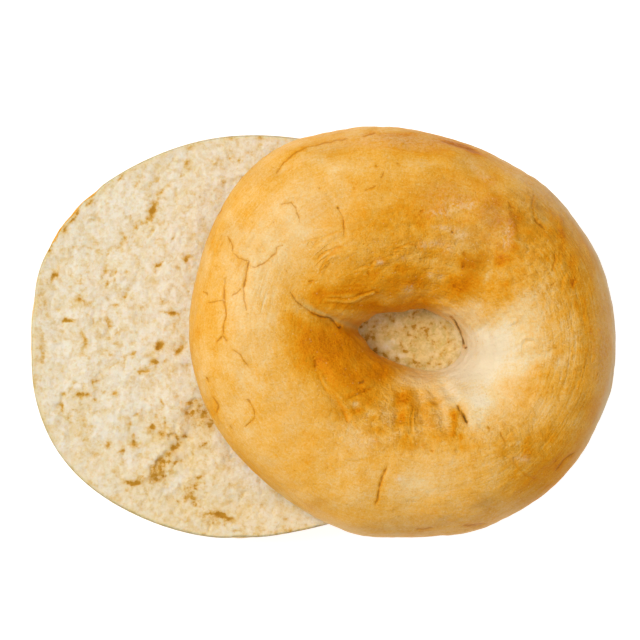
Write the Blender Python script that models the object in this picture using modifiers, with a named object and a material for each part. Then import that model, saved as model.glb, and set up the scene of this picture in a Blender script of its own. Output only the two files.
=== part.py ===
"""A plain ring-shaped bread roll, cut level into two halves.

The bottom half lies on its flat base with the cut face up. The top half lies across it,
slid to one side, so that part of the crumb shows beside it and through its hole.
Each half is one solid: a turned ring that is pushed into the shape of hand-rolled dough.
"""

import math
import random

import bmesh
import bpy
import numpy as np
from mathutils import Vector, noise

MM = 0.001

# Driving sizes, in millimetres
CUT_HEIGHT = 17.0  # from the table up to the knife's cut
TOP_HEIGHT = 21.0  # from the cut up to the crown
CRUMB_GAP = 0.4  # left between the two cut faces
SLIDE = 39.2  # how far the top half lies to the right of the bottom half
SLIDE_FORWARD = 0.3  # and towards the front

SECTORS = 88  # faces round the ring
CUT_RINGS = 12  # faces across the cut face
CRUST_RINGS = 16  # faces over the crust, from cut edge to cut edge

# Each outline is measured from the middle of that half's hole. A lobe is (how many crests
# it has round the ring, how far they stand out, the direction of one crest in degrees).
TOP = {
    "name": "top_half",
    "outline": 54.2,
    "outline_lobes": [(1, 2.9, 143), (2, 1.8, -29), (3, 0.5, 16), (4, 0.3, 37), (5, 0.2, -27), (6, 0.4, 7)],
    "hole": 9.8,
    "hole_lobes": [(1, 0.8, 8), (2, 2.6, -12), (3, 0.4, -57), (4, 0.6, -15)],
    "inwards": 1,  # from the cut face into the bread, along Z
    "seed": 3,
}
BOTTOM = {
    "name": "bottom_half",
    "outline": 55.7,
    "outline_lobes": [(1, 2.2, 180), (2, 2.4, 5), (3, 0.5, -49), (4, 0.8, -41), (7, 0.3, 2)],
    "hole": 11.0,
    "hole_lobes": [(2, 1.4, 35), (3, 0.5, 80)],
    "inwards": -1,
    "seed": 8,
}

# How the crust curves from the outer edge of the cut over to the hole's. A fullness of 2
# is an ellipse, and more is squarer.
RISE_FULLNESS = 2.15
TOP_WIDEST = 2.5  # above the cut
TOP_CROWN = 0.56  # where the crown lies, from the hole's edge at 0 to the outline at 1
TOP_OUTER_FULLNESS = 2.45
STEEP_FULLNESS = 2.5  # the hole's steep side
GENTLE_FULLNESS = 1.55  # and the side that slopes gently
STEEP_HEADING = 150  # degrees
BOTTOM_WIDEST = 4.5  # below the cut
BOTTOM_FULLNESS = 2.6
BASE_FLATTENED = 1.5  # how much of the curve lying on the oven tray took off

RIM_ROUNDING = 1.1  # how far the crust turns in where the knife met it
RIM_DEPTH = 1.6

# Relief in the top half's crust, measured from the middle of its hole
PINCH = {"route": [(-9, 1.5), (-15, 2.6), (-21.5, 5.4), (-30, 10.6)], "width": 1.7, "depth": 2.4}
TUCK = {"route": [(-24.4, -5.6), (-21.4, -12.2), (-16.8, -19), (-13, -23.2)], "width": 1.4, "depth": 0.7}
EDGE_FOLD = {"route": [(-33.5, 43), (-24, 48.6), (-8, 52.2), (8, 51)], "width": 1.5, "depth": 0.7}
BACK_RIDGE = {"route": [(23.8, 31), (26.2, 27), (27.1, 22.5)], "width": 2.0, "depth": -0.8}
FRONT_FOLDS = {"headings": [-101, -82, -68, -55], "start": 14, "length": 11, "width": 1.3, "depth": 0.5}
SWELLINGS = [  # (x, y, radius, height)
    (-18, -8, 10, 1.3),
    (-9, 18, 12, 1.0),
    (24, -24, 14, 0.8),
    (30, 14, 13, 0.7),
    (16, 1, 9, -1.0),
]
LUMP_SIZE = 24.0
LUMP_HEIGHT = 1.1
RELIEF_STARTS = 5.0  # how far from the cut and the base the relief reaches its full height

# Relief in the cut faces, always inwards from the plane of the cut
CRUMB_DIP = 1.1
CRUMB_LUMP_SIZE = 9.0
TEAR = {"route": [(-11, -17), (-16, -24.5), (-21, -31.5), (-26, -38)], "width": 4.2, "depth": 1.5}
DRAG = 1.0  # how far the knife dragged the crumb sideways
DRAG_SIZE = 5.0
PORES = 64  # larger air cells in each cut face
LONG_PORES = 0.45  # the share of them that take up two faces
PORE_INSET = (0.45, 0.8)
PORE_DEPTH = (0.6, 1.2)

SHARP_EDGE = math.radians(40)
MATERIALS = {  # linear colour, roughness
    "crust": ((0.80, 0.42, 0.10), 0.45),
    "crumb": ((0.83, 0.68, 0.44), 0.85),
}


def clear_scene():
    for obj in list(bpy.data.objects):
        bpy.data.objects.remove(obj)


def material(name):
    colour, roughness = MATERIALS[name]
    made = bpy.data.materials.new(name)
    made.use_nodes = True
    shader = made.node_tree.nodes["Principled BSDF"]
    shader.inputs["Base Color"].default_value = (*colour, 1.0)
    shader.inputs["Roughness"].default_value = roughness
    shader.inputs["Metallic"].default_value = 0.0
    return made


def lobed(angle, mean, lobes):
    """A radius that swells and narrows round the ring."""
    waves = [size * np.cos(crests * (angle - math.radians(heading))) for crests, size, heading in lobes]
    return mean + sum(waves)


def bumps(points, size, seed):
    """Smooth unevenness from about -1 to 1, with bumps of that size."""
    shift = Vector((31.7, 17.3, 5.1)) * seed
    return np.array([noise.noise(Vector(point) / size + shift) for point in points]) * 1.6


def bell(distance, width):
    return np.exp(-((distance / width) ** 2))


def distance_to_route(x, y, route):
    """How far each point is from a bent line, and how far along the line that is, from 0 to 1."""
    nearest = np.full(len(x), np.inf)
    along = np.zeros(len(x))
    for step, ((x0, y0), (x1, y1)) in enumerate(zip(route, route[1:])):
        dx, dy = x1 - x0, y1 - y0
        share = np.clip(((x - x0) * dx + (y - y0) * dy) / (dx * dx + dy * dy), 0, 1)
        away = np.hypot(x - x0 - share * dx, y - y0 - share * dy)
        closer = away < nearest
        nearest = np.where(closer, away, nearest)
        along = np.where(closer, (step + share) / (len(route) - 1), along)
    return nearest, along


def groove(x, y, line):
    """How deep a crease is at each point. It fades towards its far end."""
    distance, along = distance_to_route(x, y, line["route"])
    return line["depth"] * (1 - along**2) * bell(distance, line["width"])


def turned_ring(half):
    """A plain ring with a flat cut face, turned from a half circle, with its width from radius 1 to 2."""
    crust = [math.pi * step / CRUST_RINGS for step in range(CRUST_RINGS + 1)]
    line = [(1.5 + 0.5 * math.cos(turn), 0.5 * half["inwards"] * math.sin(turn)) for turn in crust]
    line += [(1 + step / CUT_RINGS, 0.0) for step in range(1, CUT_RINGS)]
    profile = bmesh.new()
    corners = [profile.verts.new((radius, 0, height)) for radius, height in line]
    for here, there in zip(corners, corners[1:] + corners[:1]):
        profile.edges.new((here, there))
    mesh = bpy.data.meshes.new("profile")
    profile.to_mesh(mesh)
    profile.free()
    guide = bpy.data.objects.new("profile", mesh)
    bpy.context.scene.collection.objects.link(guide)
    screw = guide.modifiers.new("turn", "SCREW")
    screw.steps = screw.render_steps = SECTORS
    screw.use_merge_vertices = True
    screw.merge_threshold = 0.0001
    graph = bpy.context.evaluated_depsgraph_get()
    turned = bpy.data.meshes.new_from_object(guide.evaluated_get(graph))
    bpy.data.objects.remove(guide)
    ring = bmesh.new()
    ring.from_mesh(turned)
    bmesh.ops.remove_doubles(ring, verts=ring.verts, dist=0.0001)
    bmesh.ops.recalc_face_normals(ring, faces=ring.faces)
    ring.to_mesh(turned)
    ring.free()
    return turned


def section(turn, widest, height, crown, outer_fullness, inner_fullness):
    """A crust's curve, from the cut's outer edge at turn 0 to the hole's at 1.

    It returns the place across the ring, from the hole's edge at 0 to the outline at 1,
    and how far that point is from the plane of the cut.
    """
    dip = math.asin(widest / (height - widest))
    sweep = turn * (math.pi + 2 * dip) - dip
    side = np.cos(sweep)
    reach = np.abs(side) ** (2 / np.where(side > 0, outer_fullness, inner_fullness))
    across = crown + np.where(side > 0, 1 - crown, -crown) * reach
    rise = np.sin(sweep)
    arch = np.where(rise > 0, np.abs(rise) ** (2 / RISE_FULLNESS), rise)
    return across, widest + (height - widest) * arch


def top_section(turn, angle):
    steepness = 0.5 + 0.5 * np.cos(angle - math.radians(STEEP_HEADING))
    hole_side = GENTLE_FULLNESS + (STEEP_FULLNESS - GENTLE_FULLNESS) * steepness
    return section(turn, TOP_WIDEST, TOP_HEIGHT, TOP_CROWN, TOP_OUTER_FULLNESS, hole_side)


def bottom_section(turn):
    whole = CUT_HEIGHT + BASE_FLATTENED
    across, depth = section(turn, BOTTOM_WIDEST, whole, 0.5, BOTTOM_FULLNESS, BOTTOM_FULLNESS)
    return across, np.minimum(depth, CUT_HEIGHT)


def crust_relief(half, points):
    """How far the crust stands out at each point."""
    x, y = points[:, 0], points[:, 1]
    out = LUMP_HEIGHT * bumps(points, LUMP_SIZE, half["seed"])
    if half is BOTTOM:
        return out
    for line in (PINCH, TUCK, EDGE_FOLD, BACK_RIDGE):
        out -= groove(x, y, line)
    for heading in FRONT_FOLDS["headings"]:
        way = Vector((math.cos(math.radians(heading)), math.sin(math.radians(heading))))
        ends = [way * FRONT_FOLDS["start"], way * (FRONT_FOLDS["start"] + FRONT_FOLDS["length"])]
        out -= groove(x, y, {**FRONT_FOLDS, "route": ends})
    for middle_x, middle_y, radius, height in SWELLINGS:
        out += height * bell(np.hypot(x - middle_x, y - middle_y), radius)
    return out


def crumb_relief(half, points):
    """How far the cut face dips inwards at each point."""
    dip = CRUMB_DIP * (0.5 + 0.5 * bumps(points, CRUMB_LUMP_SIZE, half["seed"] + 20))
    if half is BOTTOM:
        dip += groove(points[:, 0], points[:, 1], TEAR)
    return np.clip(dip, 0, None)


def read_points(mesh, name):
    flat = np.empty(len(mesh.vertices) * 3)
    mesh.vertices.foreach_get(name, flat)
    return flat.reshape(-1, 3)


def place_points(mesh, points):
    mesh.vertices.foreach_set("co", points.ravel())
    mesh.update()


def push_into_shape(mesh, half):
    """Moves the plain ring's points out to the half's real outline, section and relief, in millimetres."""
    plain = read_points(mesh, "co")
    angle = np.arctan2(plain[:, 1], plain[:, 0])
    radius = np.hypot(plain[:, 0], plain[:, 1])
    turn = np.arctan2(np.abs(plain[:, 2]), radius - 1.5) / math.pi
    on_cut = (np.abs(plain[:, 2]) < 1e-5) & (radius > 1.001) & (radius < 1.999)

    inner = lobed(angle, half["hole"], half["hole_lobes"])
    outer = lobed(angle, half["outline"], half["outline_lobes"])
    across, lift = bottom_section(turn) if half is BOTTOM else top_section(turn, angle)
    rim = RIM_ROUNDING * np.exp(-lift / RIM_DEPTH) * np.sign(0.5 - across)
    on_crust = inner + across * (outer - inner) + rim
    in_face = inner + RIM_ROUNDING + (radius - 1) * (outer - inner - 2 * RIM_ROUNDING)
    reach = np.where(on_cut, in_face, on_crust)
    height = np.where(on_cut, 0, lift) * half["inwards"]
    points = np.stack([reach * np.cos(angle), reach * np.sin(angle), height], axis=1)
    place_points(mesh, points)

    from_cut = np.clip(lift / RELIEF_STARTS, 0, 1)
    from_base = np.clip((CUT_HEIGHT - lift) / RELIEF_STARTS, 0, 1) if half is BOTTOM else 1
    relief = np.where(on_cut, 0, crust_relief(half, points) * from_cut * from_base)
    from_rim = np.where(on_cut, np.clip((radius - 1) * (2 - radius) * CUT_RINGS, 0, 1), 0)
    dip = crumb_relief(half, points) * from_rim
    moved = points + relief[:, None] * read_points(mesh, "normal")
    moved[:, 2] += dip * half["inwards"]
    for axis in (0, 1):
        moved[:, axis] += DRAG * from_rim * bumps(points, DRAG_SIZE, half["seed"] + 40 + axis)
    place_points(mesh, moved)


def cells_for_pores(shape, half):
    """Picks single faces and pairs of faces, spread over the cut face, that share no corner."""
    deepest = CRUMB_DIP + TEAR["depth"]
    level = [
        face
        for face in shape.faces
        if face.normal.z * half["inwards"] < -0.8 and all(abs(corner.co.z) < deepest for corner in face.verts)
    ]
    draw = random.Random(half["seed"])
    taken = set()
    cells = []
    for face in draw.sample(level, len(level)):
        cell = [face]
        if draw.random() < LONG_PORES:
            touching = [other for edge in face.edges for other in edge.link_faces if other is not face]
            cell += [other for other in draw.sample(touching, 1) if other in level]
        corners = {corner for part in cell for corner in part.verts}
        if corners.isdisjoint(taken) and len(cells) < PORES:
            taken |= corners
            cells.append(cell)
    return cells


def open_pores(mesh, half):
    """Sinks the larger air cells into the cut face."""
    shape = bmesh.new()
    shape.from_mesh(mesh)
    shape.normal_update()
    draw = random.Random(half["seed"] + 1)
    for cell in cells_for_pores(shape, half):
        bmesh.ops.inset_region(shape, faces=cell, thickness=draw.uniform(*PORE_INSET), use_even_offset=True)
        floor = {corner for face in cell for corner in face.verts}
        sink = half["inwards"] * draw.uniform(*PORE_DEPTH)
        bmesh.ops.translate(shape, verts=list(floor), vec=(0, 0, sink))
    bmesh.ops.triangulate(shape, faces=shape.faces)
    shape.to_mesh(mesh)
    shape.free()


def make_half(half, middle, level, holder, slots):
    """One half as an object, in metres, hung from the holder."""
    mesh = turned_ring(half)
    mesh.name = half["name"]
    push_into_shape(mesh, half)
    open_pores(mesh, half)
    place_points(mesh, read_points(mesh, "co") * MM)
    for slot in slots:
        mesh.materials.append(slot)
    deepest = (CRUMB_DIP + TEAR["depth"] + PORE_DEPTH[1]) * MM
    for face in mesh.polygons:
        in_cut = abs(face.center.z) < deepest and face.normal.z * half["inwards"] < -0.3
        face.material_index = 1 if in_cut else 0
    mesh.shade_smooth()
    mesh.set_sharp_from_angle(angle=SHARP_EDGE)
    obj = bpy.data.objects.new(half["name"], mesh)
    bpy.data.collections["sliced_roll"].objects.link(obj)
    obj.parent = holder
    obj.location = Vector((*middle, level)) * MM
    return obj


def centre_on_table(holder, objects):
    """Puts the origin under the middle of the whole, on the table."""
    bpy.context.view_layer.update()
    places = [obj.matrix_world @ point.co for obj in objects for point in obj.data.vertices]
    low = [min(place[axis] for place in places) for axis in range(3)]
    high = [max(place[axis] for place in places) for axis in range(3)]
    holder.location = (-(low[0] + high[0]) / 2, -(low[1] + high[1]) / 2, -low[2])


def main():
    clear_scene()
    collection = bpy.data.collections.new("sliced_roll")
    bpy.context.scene.collection.children.link(collection)
    holder = bpy.data.objects.new("roll", None)
    collection.objects.link(holder)
    slots = [material("crust"), material("crumb")]
    bottom = make_half(BOTTOM, (0, 0), CUT_HEIGHT, holder, slots)
    top = make_half(TOP, (SLIDE, -SLIDE_FORWARD), CUT_HEIGHT + CRUMB_GAP, holder, slots)
    centre_on_table(holder, [bottom, top])


main()
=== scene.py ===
import math
import random

import bmesh
import bpy
import numpy as np
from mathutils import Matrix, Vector, noise


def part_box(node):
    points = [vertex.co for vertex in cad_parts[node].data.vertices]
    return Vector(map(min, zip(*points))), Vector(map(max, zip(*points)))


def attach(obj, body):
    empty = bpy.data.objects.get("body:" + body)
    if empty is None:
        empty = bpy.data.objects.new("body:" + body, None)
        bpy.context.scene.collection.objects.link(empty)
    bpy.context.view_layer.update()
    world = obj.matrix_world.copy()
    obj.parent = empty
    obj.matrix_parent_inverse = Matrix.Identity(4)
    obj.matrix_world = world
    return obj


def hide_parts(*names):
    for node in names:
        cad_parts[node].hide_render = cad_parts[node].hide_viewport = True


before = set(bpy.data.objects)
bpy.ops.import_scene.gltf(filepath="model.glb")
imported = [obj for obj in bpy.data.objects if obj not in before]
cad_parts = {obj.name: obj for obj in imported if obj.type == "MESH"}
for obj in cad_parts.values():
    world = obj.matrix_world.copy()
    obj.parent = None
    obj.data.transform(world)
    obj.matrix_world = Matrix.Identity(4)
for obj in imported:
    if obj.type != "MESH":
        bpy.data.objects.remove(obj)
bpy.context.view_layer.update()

mm = 0.001
print("solids loaded:", ", ".join(sorted(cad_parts)))

# The form of the two halves, as the solids have it, in millimetres.
cutHeight = 17.0  # from the table up to the knife's cut
topHeight = 21.0  # from the cut up to the crown
crumbGap = 0.4  # between the two cut faces
baseFlattened = 1.5  # how much of the curve lying on the oven tray took off
rimRounding = 1.1  # how far the crust turns in where the knife met it
rimDepth = 1.6
riseFullness = 2.15  # a fullness of 2 is an ellipse, and more is squarer

# Outlines are measured from the middle of each half's hole. A lobe is (crests round the ring,
# how far they stand out, the direction of one crest in degrees).
top = {
    "node": "top_half",
    "outline": 54.18,
    "outlineLobes": [(1, 2.87, 143), (2, 1.82, -29), (3, 0.49, 16), (4, 0.27, 37), (5, 0.23, -27),
                     (6, 0.43, 7), (7, 0.24, -15)],
    "hole": 9.42,
    "holeLobes": [(1, 0.35, 8), (2, 2.96, -12), (3, 0.39, -57), (4, 0.58, -15)],
    "middleFromBox": (2.08, -1.43),  # from the middle of the solid's box to the middle of its hole
    "inwards": 1,  # from the cut face into the bread, along Z
    "seed": 3,
    "crumbGrid": 0.45,  # how far apart the points of the crumb's face are
    "airCells": 0.6,  # the share of the scattered air cells that it has
    "cutLevel": cutHeight + crumbGap,
    "widest": 2.5,  # how far from the cut the half is widest
    "crown": 0.56,  # where the crown lies, from the hole's edge at 0 to the outline at 1
    "outerFullness": 2.45,
    "steepFullness": 2.5,  # the hole's steep side
    "gentleFullness": 1.55,  # and the side that slopes gently
    "steepHeading": 150,
}
bottom = {
    "node": "bottom_half",
    "outline": 55.37,
    "outlineLobes": [(1, 2.15, -178), (2, 2.7, 6), (3, 0.47, -49), (4, 0.75, -41), (6, 0.18, 29),
                     (7, 0.28, 2)],
    "hole": 11.0,
    "holeLobes": [(2, 1.4, 35), (3, 0.5, 80)],
    "middleFromBox": (2.24, -0.13),
    "inwards": -1,
    "seed": 8,
    "crumbGrid": 0.31,
    "airCells": 1.0,
    "cutLevel": cutHeight,
    "widest": 4.5,
    "crown": 0.5,
    "outerFullness": 2.6,
    "innerFullness": 2.6,
}


def lobed(angle, mean, lobes):
    return mean + sum(size * np.cos(crests * (angle - math.radians(way))) for crests, size, way in lobes)


def bumps(points, size, seed):  # smooth unevenness from about -1 to 1
    shift = Vector((31.7, 17.3, 5.1)) * seed
    return np.array([noise.noise(Vector(point) / size + shift) for point in points]) * 1.6


def uneven(points, layers):  # adds up bumps, each layer as (height, size, seed)
    return sum(height * bumps(points, size, seed) for height, size, seed in layers)


def strayed(x, y, points, layers):  # places that wander a little, each layer as (how far, size, seed)
    layersForY = [(far, size, seed + 1) for far, size, seed in layers]
    return x + uneven(points, layers), y + uneven(points, layersForY)


def bell(distance, width):
    return np.exp(-((distance / width) ** 2))


def step(low, high, value):  # from 0 at low to 1 at high, where low may be the larger
    share = np.clip((value - low) / (high - low), 0, 1)
    return share * share * (3 - 2 * share)


def turnedFrom(degrees, heading):  # how far from a heading, from -180 to 180
    return (degrees - heading + 180) % 360 - 180


def distanceToRoute(x, y, route):
    # how far off, how far along the route, on which side, and from the route's nearest place to here
    nearest = np.full(len(x), np.inf)
    along = np.zeros(len(x))
    side = np.zeros(len(x))
    apart = np.zeros((len(x), 2))
    for number, ((x0, y0), (x1, y1)) in enumerate(zip(route, route[1:])):
        dx, dy = x1 - x0, y1 - y0
        share = np.clip(((x - x0) * dx + (y - y0) * dy) / (dx * dx + dy * dy), 0, 1)
        offX, offY = x - x0 - share * dx, y - y0 - share * dy
        away = np.hypot(offX, offY)
        closer = away < nearest
        nearest = np.where(closer, away, nearest)
        along = np.where(closer, (number + share) / (len(route) - 1), along)
        side = np.where(closer, np.sign(dx * (y - y0) - dy * (x - x0)), side)
        apart[closer] = np.stack([offX, offY], axis=1)[closer]
    return nearest, along, side, apart


def section(turn, half, height, innerFullness):
    # over the crust, from the cut's outer edge at turn 0 to the hole's at turn 1: how far across,
    # from the hole's edge at 0 to the outline at 1, and how far from the cut
    widest, crown = half["widest"], half["crown"]
    dip = math.asin(widest / (height - widest))
    sweep = turn * (math.pi + 2 * dip) - dip
    side = np.cos(sweep)
    reach = np.abs(side) ** (2 / np.where(side > 0, half["outerFullness"], innerFullness))
    across = crown + np.where(side > 0, 1 - crown, -crown) * reach
    rise = np.sin(sweep)
    arch = np.where(rise > 0, np.abs(rise) ** (2 / riseFullness), rise)
    return across, widest + (height - widest) * arch


def topSection(turn, angle):
    steepness = 0.5 + 0.5 * np.cos(angle - math.radians(top["steepHeading"]))
    fullness = top["gentleFullness"] + (top["steepFullness"] - top["gentleFullness"]) * steepness
    return section(turn, top, topHeight, fullness)


def bottomSection(turn):
    across, depth = section(turn, bottom, cutHeight + baseFlattened, bottom["innerFullness"])
    sharp = (depth < bottom["widest"]) & (turn < 0.5)  # the knife left the outer edge sharp
    return np.where(sharp, 1, across), np.minimum(depth, cutHeight)


# How far the crust shows beside the crumb, and how ragged the crumb's edge is there.
crustEdge = {
    "shows": 0.02,  # past the crumb's edge
    "wall": 0.45,  # how thick it is at the cut
    # wider places on the bottom half: (heading, how many degrees, how much more)
    "wider": [(183, 6, 0.45), (172, 5, 0.5), (154, 5, 0.5), (146, 3, 0.5), (139.5, 2.5, 0.5), (-95, 4, 0.3)],
    "ragged": 0.1,
    "raggedMore": 0.7,  # where the crust is wider
    "raggedOnTop": 0.3,  # the top half's share of it
    "raggedSize": 1.6,
    "raggedRadius": 55,
    "raggedSeed": 99,
    "holeClearance": 0.4,
    "clearance": 0.03,
}


def edgeShows(half, angle):
    if half is top:
        return np.full(np.shape(angle), rimRounding)
    degrees = np.degrees(angle)
    wider = [more * bell(turnedFrom(degrees, heading), reach) for heading, reach, more in crustEdge["wider"]]
    return crustEdge["shows"] + sum(wider)


def cutEdges(half, angle):  # where the crust's flat edge at the cut begins, at the hole and outside
    inner = lobed(angle, half["hole"], half["holeLobes"]) + rimRounding
    outer = lobed(angle, half["outline"], half["outlineLobes"]) - edgeShows(half, angle)
    return inner, outer


def crumbEdges(half, places):  # the crumb's ragged edges, at the hole and outside
    angle = np.arctan2(places[:, 1], places[:, 0])
    inner, outer = cutEdges(half, angle)
    rim = np.stack([np.cos(angle), np.sin(angle), np.zeros(len(angle))], axis=1) * crustEdge["raggedRadius"]
    most = crustEdge["ragged"] + crustEdge["raggedMore"] * (edgeShows(half, angle) - crustEdge["shows"])
    wave = 0.5 + 0.5 * bumps(rim, crustEdge["raggedSize"], crustEdge["raggedSeed"])
    ragged = np.clip(wave, 0, 1) * most * (1 if half is bottom else crustEdge["raggedOnTop"])
    return inner + crustEdge["holeClearance"], outer - crustEdge["clearance"] - ragged


def readPoints(mesh, name="co"):
    flat = np.empty(len(mesh.vertices) * 3)
    mesh.vertices.foreach_get(name, flat)
    return flat.reshape(-1, 3)


def placePoints(mesh, points):
    mesh.vertices.foreach_set("co", points.ravel())
    mesh.update()


def paint(mesh, name, values):
    layer = mesh.attributes.new(name, "FLOAT", "POINT")
    layer.data.foreach_set("value", np.clip(values, -4, 4).astype(np.float32))


def paintVector(mesh, name, vectors):
    layer = mesh.attributes.new(name, "FLOAT_VECTOR", "POINT")
    layer.data.foreach_set("vector", vectors.astype(np.float32).ravel())


def readRolled(mesh):
    flat = np.empty(len(mesh.vertices) * 3, np.float32)
    mesh.attributes["rolled"].data.foreach_get("vector", flat)
    return flat.reshape(-1, 3).astype(float)


def middleOf(half):  # the middle of the hole, from the solid's box
    low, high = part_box(half["node"])
    fromBox = half["middleFromBox"]
    return (low.x + high.x) / 2 / mm + fromBox[0], (low.y + high.y) / 2 / mm + fromBox[1]


photo = {
    "width": 165.2,  # how much the photograph's frame spans, in millimetres
    "middle": (-0.21, 3.57, 19.9),
    "lens": 135.0,
    "sensor": 36.0,
    "pixel": 0.2582,  # millimetres in one of its pixels
    "topHole": (410, 338),  # where the middles of the two holes lie, in its pixels
    "bottomHole": (258, 337),
}


def fromPixels(spots, hole):
    # ovals read off the photograph in its pixels, to millimetres from the middle of that hole
    scale = photo["pixel"]
    middleX, middleY = photo[hole]
    return [((x - middleX) * scale, (middleY - y) * scale, length * scale, width * scale, heading, amount)
            for x, y, length, width, heading, amount in spots]


def cameraDistance():
    return photo["width"] * photo["lens"] / photo["sensor"]


def asSeen(points, half):
    # places as the camera sees them, because the routes and spots below were read from the photograph
    world = points + np.array([*middleOf(half), half["cutLevel"]])
    aim = np.array(photo["middle"])
    share = cameraDistance() / (cameraDistance() + aim[2] - world[:, 2])
    seen = aim[:2] + (world[:, :2] - aim[:2]) * share[:, None] - np.array(middleOf(half))
    return seen[:, 0], seen[:, 1]


def finishPiece(mesh, name, half, material):
    # from millimetres round the hole to metres in the frame, then onto its body
    points = readPoints(mesh)
    points += np.array([*middleOf(half), half["cutLevel"]])
    placePoints(mesh, points * mm)
    mesh.materials.append(material)
    mesh.shade_smooth()
    piece = bpy.data.objects.new(name, mesh)
    bpy.context.scene.collection.objects.link(piece)
    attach(piece, "root")
    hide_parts(half["node"])
    print(name, len(mesh.polygons), "faces")
    return piece


# The crust is a turned shell with a shallow recess under the crumb.
crustShell = {
    "edgeDrop": 0.3,  # how far the edge slopes down under the crumb
    "recess": 4.0,  # how deep the recess is
    "recessInset": 3.5,
    "sectionLength": 95.0,  # over the crust from cut edge to cut edge
    "rollRadius": 45.0,
    "lumps": (1.1, 24.0),  # the height and size of the broad unevenness, which the solid has too
    "reliefStarts": 5.0,  # how far from the cut the relief reaches its full height
}
# The plain ring that it starts as, with no unit.
plainRing = {
    "radius": 1.5,  # of the ring's middle
    "halfWidth": 0.5,
    # the last rows, down one wall of the recess, over its floor and up the other: (radius, depth)
    "recessRows": [(1, 0), (1, 0.05), (1, 0.10), (2, 0.10), (2, 0.05), (2, 0)],
    "shallow": 0.025,  # any depth over this is in the recess
    "deep": 0.075,  # and over this on its floor
    "mergeWithin": 1e-5,
}


def turnedShell(name, sectors, rings, inwards):
    # a sheet rolled up into a plain ring: its x goes round, its y over from the outside to the hole
    # and, in the last rows, down into the recess and back
    rows = rings + len(plainRing["recessRows"]) - 1
    shape = bmesh.new()
    bmesh.ops.create_grid(shape, x_segments=sectors, y_segments=rows, size=math.pi)
    mesh = bpy.data.meshes.new(name)
    shape.to_mesh(mesh)
    shape.free()
    sheet = readPoints(mesh)
    row = np.round((sheet[:, 1] / math.pi + 1) / 2 * rows).astype(int)
    turn = np.clip(row / rings, 0, 1) * math.pi
    corner = np.clip(row - rings, 0, None)
    recessRadius, recessDepth = np.array(plainRing["recessRows"]).T
    middle, halfWidth = plainRing["radius"], plainRing["halfWidth"]
    radius = np.where(corner > 0, recessRadius[corner], middle + halfWidth * np.cos(turn))
    height = (np.where(corner > 0, 0, halfWidth * np.sin(turn)) - recessDepth[corner]) * inwards
    placePoints(mesh, np.stack([radius * np.cos(sheet[:, 0]), radius * np.sin(sheet[:, 0]), height], axis=1))
    shape = bmesh.new()
    shape.from_mesh(mesh)
    bmesh.ops.remove_doubles(shape, verts=shape.verts, dist=plainRing["mergeWithin"])
    bmesh.ops.recalc_face_normals(shape, faces=shape.faces)
    shape.to_mesh(mesh)
    shape.free()
    return mesh


def shapeShell(mesh, half):
    # moves the plain ring out to the half's outline and section; returns what the relief needs
    plain = readPoints(mesh)
    angle = np.arctan2(plain[:, 1], plain[:, 0])
    radius = np.hypot(plain[:, 0], plain[:, 1])
    under = -plain[:, 2] * half["inwards"]
    recessed = under > plainRing["shallow"]
    deep = under > plainRing["deep"]
    turn = np.where(recessed, 0, np.arctan2(np.abs(plain[:, 2]), radius - plainRing["radius"]) / math.pi)
    inner = lobed(angle, half["hole"], half["holeLobes"])
    outer = lobed(angle, half["outline"], half["outlineLobes"])
    across, lift = bottomSection(turn) if half is bottom else topSection(turn, angle)
    rim = np.where(across < 0.5, rimRounding, -edgeShows(half, angle)) * np.exp(-lift / rimDepth)
    reach = inner + across * (outer - inner) + rim
    cutInner, cutOuter = cutEdges(half, angle)
    inset = np.where(deep, crustShell["recessInset"], crustEdge["wall"])
    inRecess = np.where(radius > plainRing["radius"], cutOuter - inset, cutInner + inset)
    reach = np.where(recessed, inRecess, reach)
    lift = np.where(recessed, np.where(deep, crustShell["recess"], crustShell["edgeDrop"]), lift)
    height = lift * half["inwards"]
    placePoints(mesh, np.stack([reach * np.cos(angle), reach * np.sin(angle), height], axis=1))
    # places on the skin as it was rolled, in millimetres, for streaks that run round the ring
    around = np.stack([np.cos(angle), np.sin(angle)], axis=1) * crustShell["rollRadius"]
    paintVector(mesh, "rolled", np.column_stack([around, turn * crustShell["sectionLength"]]))
    return recessed, lift, across, angle


# Relief of the top half's crust. Routes run from the middle of its hole, in millimetres.
topCreases = [  # the large folds, which the solid has too
    {"route": [(-9, 1.5), (-15, 2.6), (-21.5, 5.4), (-30, 10.6)], "width": 1.7, "depth": 2.4},
    {"route": [(-24.4, -5.6), (-21.4, -12.2), (-16.8, -19), (-13, -23.2)], "width": 1.4, "depth": 0.7},
    {"route": [(-33.5, 43), (-24, 48.6), (-8, 52.2), (8, 51)], "width": 1.5, "depth": 0.7},
    {"route": [(23.8, 31), (26.2, 27), (27.1, 22.5)], "width": 2.0, "depth": -0.8},
]
frontFolds = {"headings": [-101, -82, -68, -55], "start": 14, "length": 11, "width": 1.3, "depth": 0.7}
swellings = [  # (x, y, radius, height)
    (-18, -8, 10, 1.3),
    (-9, 18, 12, 1.0),
    (24, -24, 14, 0.8),
    (30, 14, 13, 0.7),
    (18, 1, 8, -0.8),
]

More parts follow.
